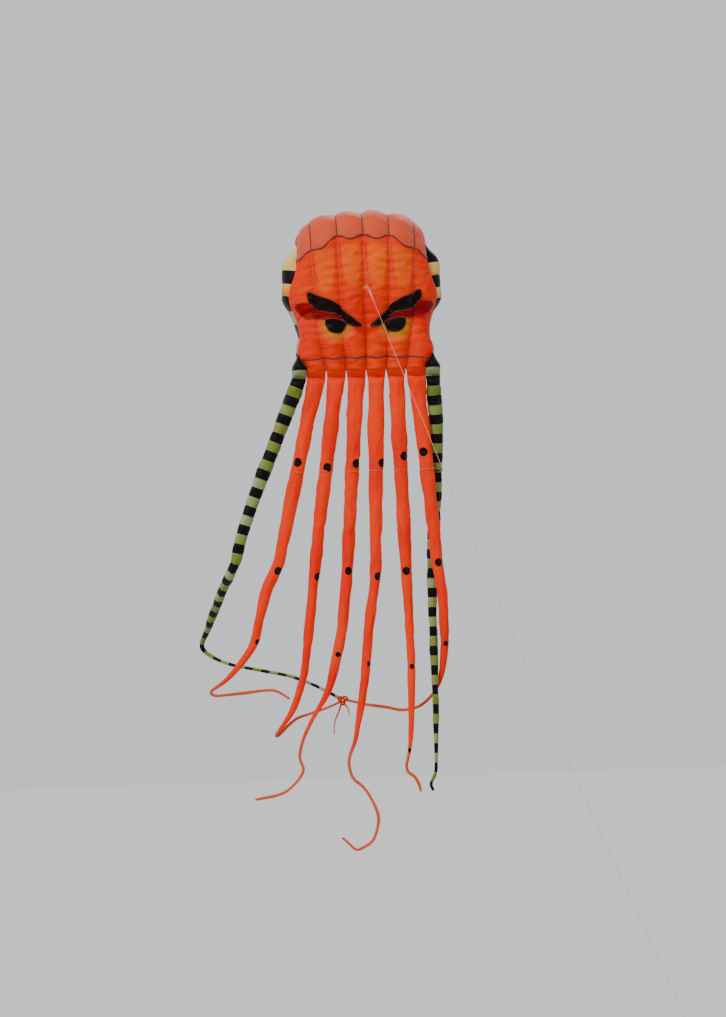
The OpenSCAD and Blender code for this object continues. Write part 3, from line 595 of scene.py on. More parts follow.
CLOTH = {
    "quality": 6, "mass": 0.04, "air_damping": 3.0, "tension_stiffness": 9.0, "compression_stiffness": 9.0,
    "shear_stiffness": 5.0, "bending_stiffness": 0.03, "use_pressure": True, "uniform_pressure_force": 1.2,
    "shrink_min": -0.03, "vertex_group_mass": "sewn"}


def add_cloth(ob, t, hem, frames):
    """Cloth settings for one panel, held at its edges and along the hem, with air behind it."""
    held = np.abs(t - hem) < 0.008
    held[[0, -1]] = True
    held[:, [0, -1]] = True
    group = ob.vertex_groups.new(name="sewn")
    group.add([int(q) for q in np.flatnonzero(held.ravel())], 1.0, "REPLACE")
    mod = ob.modifiers.new("air", "CLOTH")
    for key, value in CLOTH.items():
        setattr(mod.settings, key, value)
    mod.settings.effector_weights.gravity = 0
    mod.collision_settings.use_collision = False
    mod.point_cache.frame_start = 1
    mod.point_cache.frame_end = frames


def blow_up(panels, hem=0.922, frames=20, cap=0.014):
    """Cloth simulation of sewn panels, blown out from inside. No point moves further than the cap."""
    for ob, v, t in panels:
        add_cloth(ob, t, hem, frames)
    for frame_no in range(1, frames + 1):
        SCENE.frame_set(frame_no)
    deps = bpy.context.evaluated_depsgraph_get()
    for ob, v, t in panels:
        co = np.empty(v.size, np.float32)
        ob.evaluated_get(deps).to_mesh().vertices.foreach_get("co", co)
        move = co.reshape(v.shape) - v
        v += move * cap / (cap + np.linalg.norm(move, axis=-1, keepdims=True))
    for ob, v, t in panels:
        ob.modifiers.remove(ob.modifiers["air"])
        ob.vertex_groups.clear()
        ob.data.vertices.foreach_set("co", v.ravel())
        ob.data.update()
    SCENE.frame_set(1)


face_parts, panels = [], []
for c in range(-3, 3):
    number = c + 4
    pair = ("inner", "middle", "outer")[c if c >= 0 else -c - 1]
    face = skin_piece(f"skin_face_{number}", c, -1, lip_line, foot_line, 120, M_FACE, f"face_gore_{number}",
                      tint=face_tint)
    back = skin_piece(f"skin_back_{number}", c, 1, crown_line, foot_line, 130, M_BACK, f"back_gores_{pair}",
                      tint=back_tint, power=1.7)
    skin_piece(f"intake_gauze_{number}", c, -1, crown_line, lambda u: lip_line(u) + 0.003, 30, M_GAUZE,
               "intake_screens", gain=0.7, recess=3.0, power=1.9)
    face_parts.append(face[1])
    panels += [face, back]
blow_up(panels)

# One tree of the face, for the pieces that lie on it
tree_faces, first = [], 0
for v in face_parts:
    tree_faces += [tuple(first + corner for corner in quad) for quad in grid_faces(*v.shape[:2])]
    first += v.shape[0] * v.shape[1]
tree_verts = np.concatenate([v.reshape(-1, 3) for v in face_parts])
FACE = BVHTree.FromPolygons([Vector(p) for p in tree_verts], tree_faces)


def on_face(x, z, height):
    """Point of the face at x and z, in metres, lifted off it by the height."""
    hit, normal, _, _ = FACE.ray_cast(Vector((x, -2.0, z)), Vector((0, 1, 0)), 6.0)
    if hit is None:
        hit, normal, _, _ = FACE.find_nearest(Vector((x, 0.3, z)))
    if normal.y > 0:
        normal = -normal
    return np.array(hit + normal * height)


# ---- tapes on the skin ----
TAPE_CROWN = 0.3


def ribbon(name, centre, across, normal, width, mat, lift=0.0025, body="head"):
    """A narrow raised strip along the centre line, a little higher in its middle."""
    places = np.array([-0.5, -0.3, 0, 0.3, 0.5])
    heights = (np.array([-0.6, 0.8, 1.0, 0.8, -0.6]) * TAPE_CROWN + 1 - TAPE_CROWN) * lift
    sideways = across[:, None] * (places * width)[:, None]
    verts = centre[:, None] + sideways + normal[:, None] * heights[:, None]
    uv = ring_uv(places + 0.5, lengths(centre))
    ob = new_mesh(name, verts.reshape(-1, 3), grid_faces(len(centre), 5), uv, [mat])
    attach(ob, body)
    return ob


def seam_ribbon(name, k, side, t0, t1, width, mat):
    t = np.linspace(math.sqrt(t0), math.sqrt(t1), 150) ** 2
    p = seam_point(k, t, side) / 1000
    beside = {-3: [-3], 3: [2]}.get(k, [k - 1, k])
    normal = units(sum(skin_normal(c, t, side) for c in beside))
    across = units(np.cross(units(np.gradient(p, axis=0)), normal))
    ribbon(name, p + normal * 0.002, across, normal, width, mat, lift=0.005)


for k in range(-3, 4):
    lip_t = float(lip_line(np.array(float(k))))
    seam_ribbon(f"seam_intake_{k + 4}", k, -1, 0.0004, lip_t, 0.013, M_LIP)
    seam_ribbon(f"seam_face_{k + 4}", k, -1, lip_t, 1.0, 0.010, M_SEAM)
    seam_ribbon(f"seam_back_{k + 4}", k, 1, 0.0004, 1.0, 0.012, M_SEAM)


def face_tape(name, line, width, node, lift):
    """Dark tape along a line that crosses all the cells of the face."""
    points, normals, downs = [], [], []
    for c in range(-3, 3):
        f = np.linspace(0, 1, 27)[0 if c == -3 else 1:]
        t = line(c + f)
        points.append(skin(c, f, t, -1))
        normals.append(skin_normal(c, t, -1))
        downs.append(skin(c, f, np.minimum(t + 0.01, 1), -1) - points[-1])
    p, normal, down = np.concatenate(points), np.concatenate(normals), units(np.concatenate(downs))
    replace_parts(ribbon(name, p + normal * 0.002, down, normal, width, M_LIP, lift=lift), node)


face_tape("lip_tape_sewn", lambda u: lip_line(u) + 0.004, 0.020, "lip_tape", 0.010)
face_tape("hem_tape_sewn", lambda u: hem_line(u) + 0.005, 0.018, "hem_tape", 0.006)

# ---- striped side cells: heights of the cuts between the bands ----
BAND_TS = {
    -1: [0.01, 0.19, 0.295, 0.39, 0.51, 0.62, 0.73, 0.86, 1],
    1: [0.01, 0.15, 0.25, 0.345, 0.43, 0.53, 0.64, 0.75, 0.87, 1]}
BAND_SLANT, BAND_ROWS, BAND_COLS, BAND_W = 0.05, 16, 34, 0.6
W_SIDE = Waves(9, 3, 2.5, 6)


def side_point(d, w, t, lift):
    """Point of a side cell in mm: d is -1 on the left, w runs from the face to the back."""
    turn = np.radians(90 + 80 * smooth(0.75, 1, t))
    a = turn * (2 * w - 1)
    reach = (outer_half_w(t) - face_half_w(t)) / (1 - np.cos(turn))
    depth = seam_depth(3, t) / np.sin(turn)
    centre_x = face_half_w(t) - reach * np.cos(turn)
    out_x, out_y = np.cos(a) * depth, np.sin(a) * reach
    size = np.hypot(out_x, out_y) + 1e-9
    x = d * (centre_x + reach * np.cos(a) + lift * out_x / size)
    return np.stack([x, seam_mid_y(3, t) + depth * np.sin(a) + lift * out_y / size, seam_z(3, t)], -1)


def side_band(d, i):
    """Points, place down the head and colours of band i of one side cell."""
    cuts = BAND_TS[d]
    w = np.linspace(0, 1, BAND_COLS)[None]
    q = np.linspace(0, 1, BAND_ROWS)[:, None]
    slant = BAND_SLANT * (0.5 - w)
    low = cuts[i] + (slant if i else 0 * slant)
    high = cuts[i + 1] + (slant if i < len(cuts) - 2 else 0 * slant)
    t = np.clip(low + (high - low) * q, 0.004, 1)
    w = np.broadcast_to(w, t.shape)
    x, y, z = np.moveaxis(side_point(d, w, t, 0 * t) / 1000, -1, 0)
    edge = np.clip(np.minimum(w, 1 - w) * 10, 0, 1)
    gathers = 3.5 * np.exp(-np.minimum(q, 1 - q) * 150 / 30) * np.sin(w * 55 + i)
    lift = edge * (9 * np.sin(np.pi * q) ** 0.6 + 5 * W_SIDE(x, y, z) + gathers)
    warm = smooth(0.27, 0.42, t) if d < 0 else smooth(0.6, 1.0, q) * 0.5 + 0 * t
    colour = srgb_mix(srgb_mix((252, 226, 128), (246, 150, 14), warm), (188, 192, 168), smooth(0.4, 0.5, t))
    return side_point(d, w, t, lift) / 1000, np.stack([w * BAND_W, t * 1.4], -1), to_lin(colour)


def side_cloth(d, side_name, first_band, colour, mat):
    """Every second band of one side cell, from the given one down, as one piece."""
    numbers = range(first_band, len(BAND_TS[d]) - 1, 2)
    bands = [side_band(d, i) for i in numbers]
    verts, uv, tint = (np.concatenate([band[part].reshape(-1, size) for band in bands])
                       for part, size in ((0, 3), (1, 2), (2, 3)))
    quads = grid_faces(BAND_ROWS, BAND_COLS, flip=d > 0)
    starts = [n * BAND_ROWS * BAND_COLS for n in range(len(bands))]
    faces = [tuple(start + corner for corner in quad) for start in starts for quad in quads]
    ob = new_mesh(f"side_{side_name}_{colour}", verts, faces, uv, [mat], tint=tint)
    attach(ob, "head")
    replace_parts(ob, f"side_cell_{side_name}_{colour}")


side_cloth(-1, "left", 0, "yellow", M_YELLOW)
side_cloth(-1, "left", 1, "black", M_BLACK)
side_cloth(1, "right", 0, "black", M_BLACK)
side_cloth(1, "right", 1, "yellow", M_YELLOW)

# ---- face patches: outlines of the right side in mm, x outwards and z up ----
BROW = [(610, 40), (490, -30), (305, -110), (210, -210), (40, -365), (50, -385), (140, -385), (220, -325),
        (295, -235), (450, -215), (570, -150), (625, -50)]
LID = [(775, -100), (600, -90), (500, -150), (300, -180), (220, -290), (230, -320), (340, -285),
       (450, -300), (560, -255), (655, -275)]
EYE = [(600, -270), (600, -420), (540, -510), (440, -555), (330, -565), (220, -545), (130, -480),
       (70, -400), (150, -330), (300, -250)]


def oval(x, z, half_w, half_h, count):
    angles = np.linspace(0, TURN, count, endpoint=False)
    return [(x + half_w * math.cos(a), z + half_h * math.sin(a)) for a in angles]


def rounded(outline, rounds):
    """Cuts each corner of an outline, a number of times over."""
    p = np.array(outline, float)
    for _ in range(rounds):
        q = np.roll(p, -1, axis=0)
        p = np.stack([p * 0.75 + q * 0.25, p * 0.25 + q * 0.75], 1).reshape(-1, 2)
    return p


def inset(p, d):
    """An outline moved inwards by d."""
    along = np.roll(p, -1, 0) - np.roll(p, 1, 0)
    normal = np.stack([-along[:, 1], along[:, 0]], 1)
    normal /= np.linalg.norm(normal, axis=1)[:, None] + 1e-12
    turns_left = np.sum(p[:, 0] * np.roll(p[:, 1], -1) - np.roll(p[:, 0], -1) * p[:, 1]) > 0
    return p + normal * d * (1 if turns_left else -1)


def inside(outline, points):
    """Which of the points lie inside an outline."""
    result = np.zeros(len(points), bool)
    x, y = points.T
    for (xi, yi), (xj, yj) in zip(outline, np.roll(outline, 1, 0)):
        result ^= ((yi > y) != (yj > y)) & (x < (xj - xi) * (y - yi) / (yj - yi + 1e-12) + xi)
    return result


def edge_stitching(name, edge, height, d):
    outer, inner = inset(edge, 0.001), inset(edge, 0.008)
    lanes = ((outer, 0.0012), ((outer + inner) / 2, 0.0035), (inner, 0.0012))
    rows = np.stack([[on_face(x, z, height + lift) for x, z in lane] for lane, lift in lanes], 1)
    rows = np.concatenate([rows, rows[:1]])
    uv = ring_uv([0, 0.5, 1.0], lengths(rows[:, 1]))
    ob = new_mesh(name, rows.reshape(-1, 3), grid_faces(len(rows), 3, flip=d > 0), uv, [M_THREAD])
    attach(ob, "head")


def patch(name, outline, d, height, mat, node, rounds=2, tint=None, edged=True, step=0.014):
    """Cloth laid on the face at a height: d is 1 on the right, and -1 mirrors the outline to the left."""
    edge = rounded(outline, rounds) / 1000
    edge = resample(np.vstack([edge, edge[:1]]), step)[:-1]
    t = np.clip(1 - (edge[:, 1] * 1000 - CROTCH_Z) / (HEAD_H - CORNER_DROP), 0, 1)
    edge[:, 0] = np.minimum(edge[:, 0], face_half_w(t) / 1000 - 0.006) * d
    edge = edge[np.linalg.norm(edge - np.roll(edge, 1, 0), axis=1) > 1e-4]
    low, high = edge.min(0), edge.max(0)
    grid = np.meshgrid(np.arange(low[0], high[0], step), np.arange(low[1], high[1], step))
    grid = np.stack([axis.ravel() for axis in grid], 1)
    grid = grid[inside(inset(edge, step * 0.55), grid)]
    sides = [(i, (i + 1) % len(edge)) for i in range(len(edge))]
    points = [Vector(q) for q in np.concatenate([edge, grid])]
    flat, _, faces, *_ = delaunay_2d_cdt(points, sides, [], 1, 1e-6)
    flat = np.array([tuple(q) for q in flat])
    a, b, c = flat[list(faces[0])]
    if np.linalg.det([b - a, c - a]) < 0:
        faces = [face[::-1] for face in faces]
    verts = [on_face(x, z, height) for x, z in flat]
    colours = None if tint is None else tint(flat * (d, 1))
    ob = new_mesh(name, verts, faces, flat, [mat], tint=colours)
    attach(ob, "head")
    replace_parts(ob, node)
    if edged:
        edge_stitching(name + "_stitching", edge, height, d)


def eye_tint(flat):
    """Mustard round the pupil, fading through salmon to the orange of the face."""
    r = np.hypot(flat[:, 0] - 0.315, flat[:, 1] + 0.345)
    colour = srgb_mix((206, 132, 8), (244, 98, 40), smooth(0.12, 0.18, r))
    return to_lin(srgb_mix(colour, (245, 52, 0), smooth(0.165, 0.225, r)))


PUPIL = oval(315, -325, 120, 120, 48)
for d, s in ((-1, "left"), (1, "right")):
    patch(f"eye_ground_{s}", EYE, d, 0.002, M_EYE, f"eye_{s}", tint=eye_tint, edged=False)
    patch(f"pupil_disc_{s}", PUPIL, d, 0.007, M_BLACK, f"pupil_{s}", rounds=0)
    patch(f"eyelid_{s}_sewn", LID, d, 0.010, M_LID, f"eyelid_{s}", rounds=1)
    patch(f"eyebrow_{s}_sewn", BROW, d, 0.016, M_BROW, f"eyebrow_{s}")

# ---- bridle ----
TAB_TS = (0.20, 0.49, 0.64)
RING_R, LOOP_R, BRIDLE_D = 0.016, 0.0038, 0.0025
TAB_LEN, TAB_HALF_W, TAB_THICK = 0.016, 0.008, 0.0014


def torus(name, centre, a, b, big, small, mat, around=40, sides=12):
    """A ring round the centre in the plane of a and b."""
    p, q = (np.linspace(0, TURN, count, endpoint=False)[:, None] for count in (around, sides))
    out = (a * np.cos(p) + b * np.sin(p))[:, None]
    verts = centre + out * (big + small * np.cos(q)) + np.cross(a, b) * small * np.sin(q)
    quads = grid_faces(around + 1, sides, closed=True, flip=True)
    faces = [tuple(corner % (around * sides) for corner in quad) for quad in quads]
    return new_mesh(name, verts.reshape(-1, 3), faces, None, [mat])


def whipping(name, start, go):
    """Six turns of thread that bind a bridle leg's loop at the ring."""
    x = unit(np.cross(go, v3(1, 0, 0)))
    y = np.cross(go, x)
    h = np.linspace(0, 1, 90)[:, None]
    turns = np.cos(h * 6 * TURN) * x + np.sin(h * 6 * TURN) * y
    return round_tube(name, start + go * (0.004 + 0.012 * h) + 0.0021 * turns, 0.0009, 8, M_BRIDLE)


def tab_strap(name, tab, end, mat):
    """A loop of webbing out of the middle seam, round the end of a bridle leg."""
    wide = v3(1, 0, 0)
    back = tab + unit(tab) * 0.004
    axis = unit(end - back)
    a = np.linspace(0, TURN, 40)[:, None]
    reach = np.linalg.norm(end - back)
    loop = back + axis * reach * 0.5 * (1 - np.cos(a)) + np.cross(wide, axis) * 0.006 * np.sin(a)
    across = np.array([-1, -0.975, 0, 0.975, 1])[:, None] * wide * TAB_HALF_W
    uv = ring_uv([0, 0.02, 0.5, 0.98, 1.0], lengths(loop))
    ob = new_mesh(name, (loop[:, None] + across).reshape(-1, 3), grid_faces(len(loop), 5), uv, [mat])
    thick = ob.modifiers.new("thick", "SOLIDIFY")
    thick.thickness = TAB_THICK
    thick.offset = 0
    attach(ob, "head")


for number, t in enumerate(TAB_TS, 1):
    tab = (seam_point(0, np.array(t), -1) - v3(0, 1.5, 0)) / 1000
    end = tab * (1 - TAB_LEN / np.linalg.norm(tab))
    out = unit(tab - ring_axis * (ring_axis @ tab))
    start = out * (RING_R + LOOP_R)
    points = start + (end - start) * np.linspace(0, 1, 18)[:, None]
    cord = cord_curve(f"bridle_leg_{number}", points, BRIDLE_D, M_BRIDLE)
    loop = torus(f"bridle_loop_{number}", out * RING_R, ring_axis, out, LOOP_R, BRIDLE_D / 2, M_BRIDLE)
    whip = whipping(f"bridle_whipping_{number}", start, unit(end - start))
    for ob in (cord, loop, whip):
        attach(ob, "head")
    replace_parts(cord, "bridle_lines")
    tab_mat = M_TAB if number == 2 else M_TAB_PLAIN
    tab_strap(f"tab_webbing_{number}", tab, end, tab_mat)
    patch(f"tab_patch_{number}", oval(0, tab[2] * 1000, 30, 17, 36), 1, 0.007, tab_mat, "bridle_tabs",
          rounds=0, edged=False, step=0.005)

# ---- legs, in mm: ROUTES has each orange leg's lower path, with its radius last ----
LEG_TOP_Z, PIVOT_Z, KNEE_Z = -800, -900, -2850
ROOT_X = (-537, -321, -107, 107, 321, 537)
KNEES = [(x, 720, KNEE_Z) for x in (-990, -600, -250, 50, 370, 710)]
ROUTES = [
    [(-1060, 742, -3000, 60), (-1130, 760, -3150, 58), (-1210, 780, -3430, 52), (-1285, 800, -3710, 45),
     (-1420, 820, -3920, 34), (-1590, 840, -4100, 24), (-1740, 855, -4200, 16), (-1770, 872, -4235, 12),
     (-1720, 882, -4265, 12), (-1600, 890, -4260, 12), (-1350, 920, -4240, 12), (-1190, 940, -4225, 12),
     (-1060, 950, -4230, 11), (-910, 970, -4320, 9)],
    [(-615, 732, -3000, 58), (-650, 750, -3290, 52), (-690, 770, -3600, 48), (-740, 790, -3970, 45),
     (-780, 800, -4140, 40), (-880, 820, -4430, 33), (-990, 835, -4600, 24), (-1070, 850, -4700, 14),
     (-1075, 875, -4730, 11), (-1040, 890, -4710, 11), (-950, 895, -4620, 11), (-840, 905, -4535, 11),
     (-700, 920, -4490, 11), (-480, 950, -4420, 10), (-375, 980, -4375, 9)],
    [(-262, 728, -3000, 60), (-300, 740, -3310, 57), (-340, 750, -3620, 54), (-405, 758, -3900, 49),
     (-470, 765, -4150, 43), (-535, 770, -4310, 34), (-610, 775, -4430, 25), (-700, 780, -4580, 20),
     (-790, 790, -4770, 17), (-832, 800, -4940, 14), (-815, 800, -5020, 12), (-790, 800, -5080, 12),
     (-850, 800, -5190, 12), (-980, 800, -5310, 12), (-1090, 800, -5350, 12), (-1200, 800, -5370, 14),
     (-1320, 800, -5390, 8)],
    [(42, 727, -3000, 58), (0, 740, -3310, 54), (-50, 750, -3620, 51), (-100, 760, -4070, 47),
     (-160, 775, -4440, 36), (-220, 790, -4750, 24), (-265, 795, -4880, 18), (-302, 800, -4990, 14),
     (-300, 800, -5080, 12), (-265, 800, -5200, 12), (-180, 800, -5270, 12), (-110, 800, -5360, 12),
     (-45, 800, -5490, 12), (-5, 800, -5620, 12), (-25, 800, -5750, 12), (-75, 800, -5870, 12),
     (-165, 800, -5930, 12), (-255, 800, -5965, 12), (-330, 800, -5890, 11), (-400, 800, -5830, 8)],
    [(376, 728, -3000, 58), (385, 742, -3330, 52), (393, 750, -3640, 46), (398, 760, -4000, 42),
     (388, 780, -4440, 36), (375, 790, -4710, 29), (350, 800, -4930, 20), (312, 800, -5080, 14),
     (330, 800, -5150, 12), (400, 800, -5200, 12), (445, 800, -5290, 12), (460, 800, -5360, 9)],
    [(728, 738, -3000, 58), (757, 760, -3220, 54), (772, 800, -3490, 50), (775, 855, -3760, 43),
     (755, 905, -4010, 34), (715, 945, -4180, 25), (640, 972, -4320, 17), (540, 985, -4415, 13),
     (450, 990, -4460, 12), (340, 990, -4480, 12), (250, 990, -4475, 12), (150, 990, -4445, 12),
     (-80, 995, -4410, 12), (-190, 995, -4380, 10), (-305, 1000, -4350, 9)]]
STRIPED_UPPER = {
    -1: [(-716, 540, -900), (-1280, 670, -2270), (-1460, 720, -2850)],
    1: [(716, 540, -900), (745, 700, -1650), (680, 900, -2850)]}
STRIPED_LOWER = {
    -1: [(-1460, 720, -2850), (-1510, 830, -2960), (-1570, 1010, -3080), (-1630, 1220, -3220),
         (-1690, 1480, -3370), (-1750, 1720, -3530), (-1800, 1860, -3640), (-1810, 1900, -3720),
         (-1740, 1890, -3790), (-1610, 1810, -3870), (-1450, 1710, -3930), (-1290, 1600, -3970),
         (-1030, 1440, -4030), (-850, 1340, -4080), (-640, 1220, -4170), (-430, 1110, -4290),
         (-350, 1045, -4345)],
    1: [(680, 900, -2850), (668, 902, -3060), (664, 900, -3300), (660, 895, -3680), (660, 880, -4090),
        (658, 865, -4470), (650, 855, -4720), (642, 850, -5010), (632, 850, -5160), (600, 850, -5230),
        (570, 850, -5290), (600, 850, -5350)]}
# Radius of the striped legs' lower parts, at shares of their length
STRIPED_RADII = {
    -1: [(0, 55), (0.18, 50), (0.36, 38), (0.46, 24), (0.54, 15), (1, 13)],
    1: [(0, 55), (0.15, 48), (0.5, 38), (0.8, 25), (0.9, 16), (1, 12)]}
BAND_LEN = 0.105
SIDES = 30
LOWER_STEPS = 6


def foot_ring(half_w, depth_gap, depth):
    """Outline of a cell's open foot in mm, where a leg is sewn on."""
    a = np.linspace(0, TURN, SIDES, endpoint=False)
    sn = np.sin(a)
    return np.stack([half_w * np.cos(a), depth_gap * np.tanh(sn * 6) + depth * np.sign(sn) * sn ** 2], 1)


def tube_skin(path, radii, band, foot, seed):
    """Skin of an inflated leg, a ring for each point of its path, and each place's length and angle."""
    s = lengths(path)
    _, ax, ay = frames_along(path)
    slow = Waves(100 + seed, 1, 0.5, 1.6, 8)
    wide = Waves(200 + seed, 3, 0.9, 2.2, 12)
    short = Waves(300 + seed, 3, 2.2, 5.0, 12)
    S, A = np.meshgrid(s, np.linspace(0, TURN, SIDES, endpoint=False), indexing="ij")
    R = np.broadcast_to(radii[:, None], S.shape)
    ca, sa = np.cos(A), np.sin(A)
    depth = np.clip(R / 0.05, 0.15, 1.3)
    fold = np.abs(short(ca * 0.8, sa * 0.8, S * 2.1))
    radius = R * (1 + 0.045 * slow(S) + 0.05 * np.cos(2 * A + 3 * slow(S + 9)))
    radius = radius + depth * (0.0042 * wide(ca, sa, S * 1.6) - 0.0034 * fold + 0.0017)
    if band is not None:
        seam_no = np.floor(S / band + 0.5)
        gap = np.abs((S / band + 0.5) % 1 - 0.5) * band
        gathers = depth * 0.0022 * np.exp(-gap / 0.02) * np.sin(A * 11 + seam_no * 2.3)
        radius = radius * (1 - 0.065 * np.exp(-((gap / 0.012) ** 2))) + gathers
    out = ca[..., None] * ax[:, None] + sa[..., None] * ay[:, None]
    round_skin = path[:, None] + radius[..., None] * out
    ring = foot_ring(*foot) / 1000
    sewn = round_skin.copy()
    sewn[..., 0] = path[:, None, 0] + ring[:, 0]
    sewn[..., 1] = path[:, None, 1] - ring[:, 1]
    sewn[..., 2] = path[:, None, 2]
    share = smooth(0, 1, 1 - (s - 0.02) / 0.15)[:, None, None]
    return round_skin * (1 - share) + sewn * share, S, A, R


def leg_cloth(piece, skin_rows, path, first, last, mats, band, tint, nodes):
    """One sewn length of a leg, from row first to row last of its skin."""
    rows = slice(first, last + 1)
    pos, S, A, R = (grid[rows] for grid in skin_rows)
    s = S[:, 0]
    is_tip = last == len(path) - 1
    verts = pos.copy()
    if first > 0:
        verts[0] += (path[first] - verts[0]) * 0.05
    verts = verts.reshape(-1, 3)
    uv = np.stack([A / TURN * 0.45, S], -1).reshape(-1, 2)
    colours = tint(S, A, R).reshape(-1, 3)
    faces = grid_faces(len(s), SIDES, closed=True, flip=True)
    stripe = None if band is None else np.repeat(np.floor((s[:-1] + s[1:]) / 2 / band).astype(int) % 2, SIDES)
    if is_tip:
        along = frames_along(path)[0][-1]
        verts = np.concatenate([verts, [path[-1] + along * R[-1, 0] * 0.6]])
        uv = np.concatenate([uv, [[0, s[-1]]]])
        colours = np.concatenate([colours, colours[-1:]])
        base = (len(s) - 1) * SIDES
        faces += [(len(s) * SIDES, base + j, base + (j + 1) % SIDES) for j in range(SIDES)]
        if stripe is not None:
            stripe = np.concatenate([stripe, np.repeat(stripe[-1], SIDES)])
    ob = new_mesh(piece, verts, faces, uv, mats, mat_index=stripe, tint=colours)
    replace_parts(ob, *nodes)
    return ob


def leg_tint(S, A, R):
    """Orange, with painted greyish shade along one side, and paler on the thin tips."""
    colour = srgb_mix((250, 54, 0), (244, 50, 0), smooth(0, 4, S))
    # painted shade: greyer and darker along one side of each leg
    painted_side_shade = np.abs(np.sin(A * 0.5 + 0.4)) ** 8
    colour = srgb_mix(colour, (206, 84, 40), 0.35 * painted_side_shade)
    return to_lin(srgb_mix(colour, (206, 128, 104), smooth(0.026, 0.014, R) * 0.6))


W_BAND = Waves(41, 1, 0.7, 2.4, 8)


def band_tint(S, A, R):
    """Yellow-green bands, some of them paler along one side."""
    pale = np.clip(0.62 + 0.5 * W_BAND(np.floor(S / 0.21)), 0, 1) * (0.75 + 0.25 * np.cos(A - 2.2))
    return to_lin(srgb_mix((108, 122, 26), (196, 204, 180), np.clip(pale, 0, 1)))


def join_tape(name, path, pos, j, mat, body):
    """Tape round the seam between a leg's two lengths, at row j."""
    direction = unit(path[j + 1] - path[j - 1])
    radius = float(np.linalg.norm(pos[j] - path[j], axis=1).mean()) + 0.001
    a = np.linspace(0, TURN, 49)[:, None]
    x = unit(np.cross(direction, v3(0, 1, 0)))
    out = np.cos(a) * x + np.sin(a) * np.cross(x, direction)
    ribbon(name, path[j] + out * radius, np.broadcast_to(direction, out.shape), out, 0.014, mat, 0.0035, body)


JOIN_Z = -1.90
# Radii of the thin tips in mm: as routed, and as the wind fills them
THIN_RADII, FILLED_RADII = (8, 12, 17), (11, 16.5, 17)


def leg(name, ups, low, upper_radii, mats, foot, seed, tint, band=None):
    """A whole leg through the points of its upper part and the dense path, with radii, of its lower part."""
    ups = np.array(ups, float)
    upper = catmull(ups, 12)
    upper_r = np.interp(lengths(upper) / lengths(upper)[-1], [0, 1], upper_radii)
    lower_r = np.interp(low[:, 3], THIN_RADII, FILLED_RADII)
    lower_r = np.where(low[:, 3] < THIN_RADII[-1], lower_r, low[:, 3])
    top = [(*ups[0][:2], LEG_TOP_Z, upper_radii[0])]
    lower = np.column_stack([low[:, :3], lower_r])[1:]
    line = np.concatenate([top, np.column_stack([upper, upper_r]), lower]) / 1000
    if band is None:
        step = 0.021
    else:
        total = lengths(line)[-1]
        step = total / (5 * round(total / band))
        band = 5 * step
    line = resample(line, step)
    path = line[:, :3]
    for _ in range(3):
        path[1:-1] = (path[:-2] + 2 * path[1:-1] + path[2:]) / 4
    skin_rows = tube_skin(path, line[:, 3], band, foot, seed)
    join = int(np.argmin(np.abs(path[:, 2] - JOIN_Z)))
    colours = [""] if band is None else ["_yellow", "_black"]
    upper_body, lower_body = f"{name}_upper", f"{name}_lower"
    top_cloth = leg_cloth(f"{name}_top_cloth", skin_rows, path, 0, join, mats, band, tint,
                          [upper_body + colour for colour in colours])
    long_cloth = leg_cloth(f"{name}_long_cloth", skin_rows, path, join, len(path) - 1, mats, band, tint,
                           [lower_body + colour for colour in colours])
    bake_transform(top_cloth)
    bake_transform(long_cloth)
    join_tape(f"{name}_join_tape", path, skin_rows[0], join, M_SEAM if band is None else M_BLACK, upper_body)
    return path, lengths(path), skin_rows[0]


LEG_SKINS = {}
for number, (x, knee, route) in enumerate(zip(ROOT_X, KNEES, ROUTES), 1):
    root, knee_at = v3(x, ROOT_Y, PIVOT_Z), v3(*knee)
    ups = [root + (knee_at - root) * q for q in (0, 0.34, 0.67, 1)]
    low = catmull([(*knee, 61)] + route, LOWER_STEPS)
    LEG_SKINS[number] = leg(f"leg_{number}", ups, low, (88, 62), [M_LEG], (105, 28, 74),
                            number, leg_tint)
for d, s in ((-1, "left"), (1, "right")):
    low = catmull(STRIPED_LOWER[d], LOWER_STEPS)
    radii = np.interp(lengths(low) / lengths(low)[-1], *zip(*STRIPED_RADII[d]))
    radii[0] = 58
    leg(f"striped_leg_{s}", STRIPED_UPPER[d], np.column_stack([low, radii]), (80, 60), [M_OLIVE, M_BLACK],
        (84, 16, 78), 10 + d, band_tint, BAND_LEN)

# ---- black dots sewn on the legs: x and z of their centres in mm, seen from the front ----
DOTS = {
    1: ((-767, -1805), (-1010, -2951), (-1246, -3696)),
    2: ((-450, -1872), (-581, -3032)),
    3: ((-129, -1832), (-249, -2973), (-389, -3878)),
    4: ((139, -1840), (68, -3051), (-58, -3968)),
    5: ((384, -1760), (375, -2984), (403, -4026), (351, -4925)),
    6: ((579, -1722), (728, -2908), (786, -3780))}
DOT_RADII = (0.048, 0.044, 0.028, 0.028)
DOT_SIDES = 32
# Height of a dot over the skin in mm, at shares of its radius
DOME = ((0.0, 4.2), (0.35, 4.2), (0.7, 3.8), (0.9, 3.0), (0.98, 1.6), (1.0, -2.0))


def on_leg(pos, path, i, j, height):
    """Point of a leg's skin at row i and column j, both with fractions, lifted by the height."""
    i0 = int(min(max(math.floor(i), 0), len(pos) - 2))
    j0, cols = int(math.floor(j)), pos.shape[1]
    fi, fj = i - i0, j - math.floor(j)
    above, below = (pos[row][j0 % cols] * (1 - fj) + pos[row][(j0 + 1) % cols] * fj for row in (i0, i0 + 1))
    point = above * (1 - fi) + below * fi
    centre = path[i0] * (1 - fi) + path[i0 + 1] * fi
    return point + unit(point - centre) * height


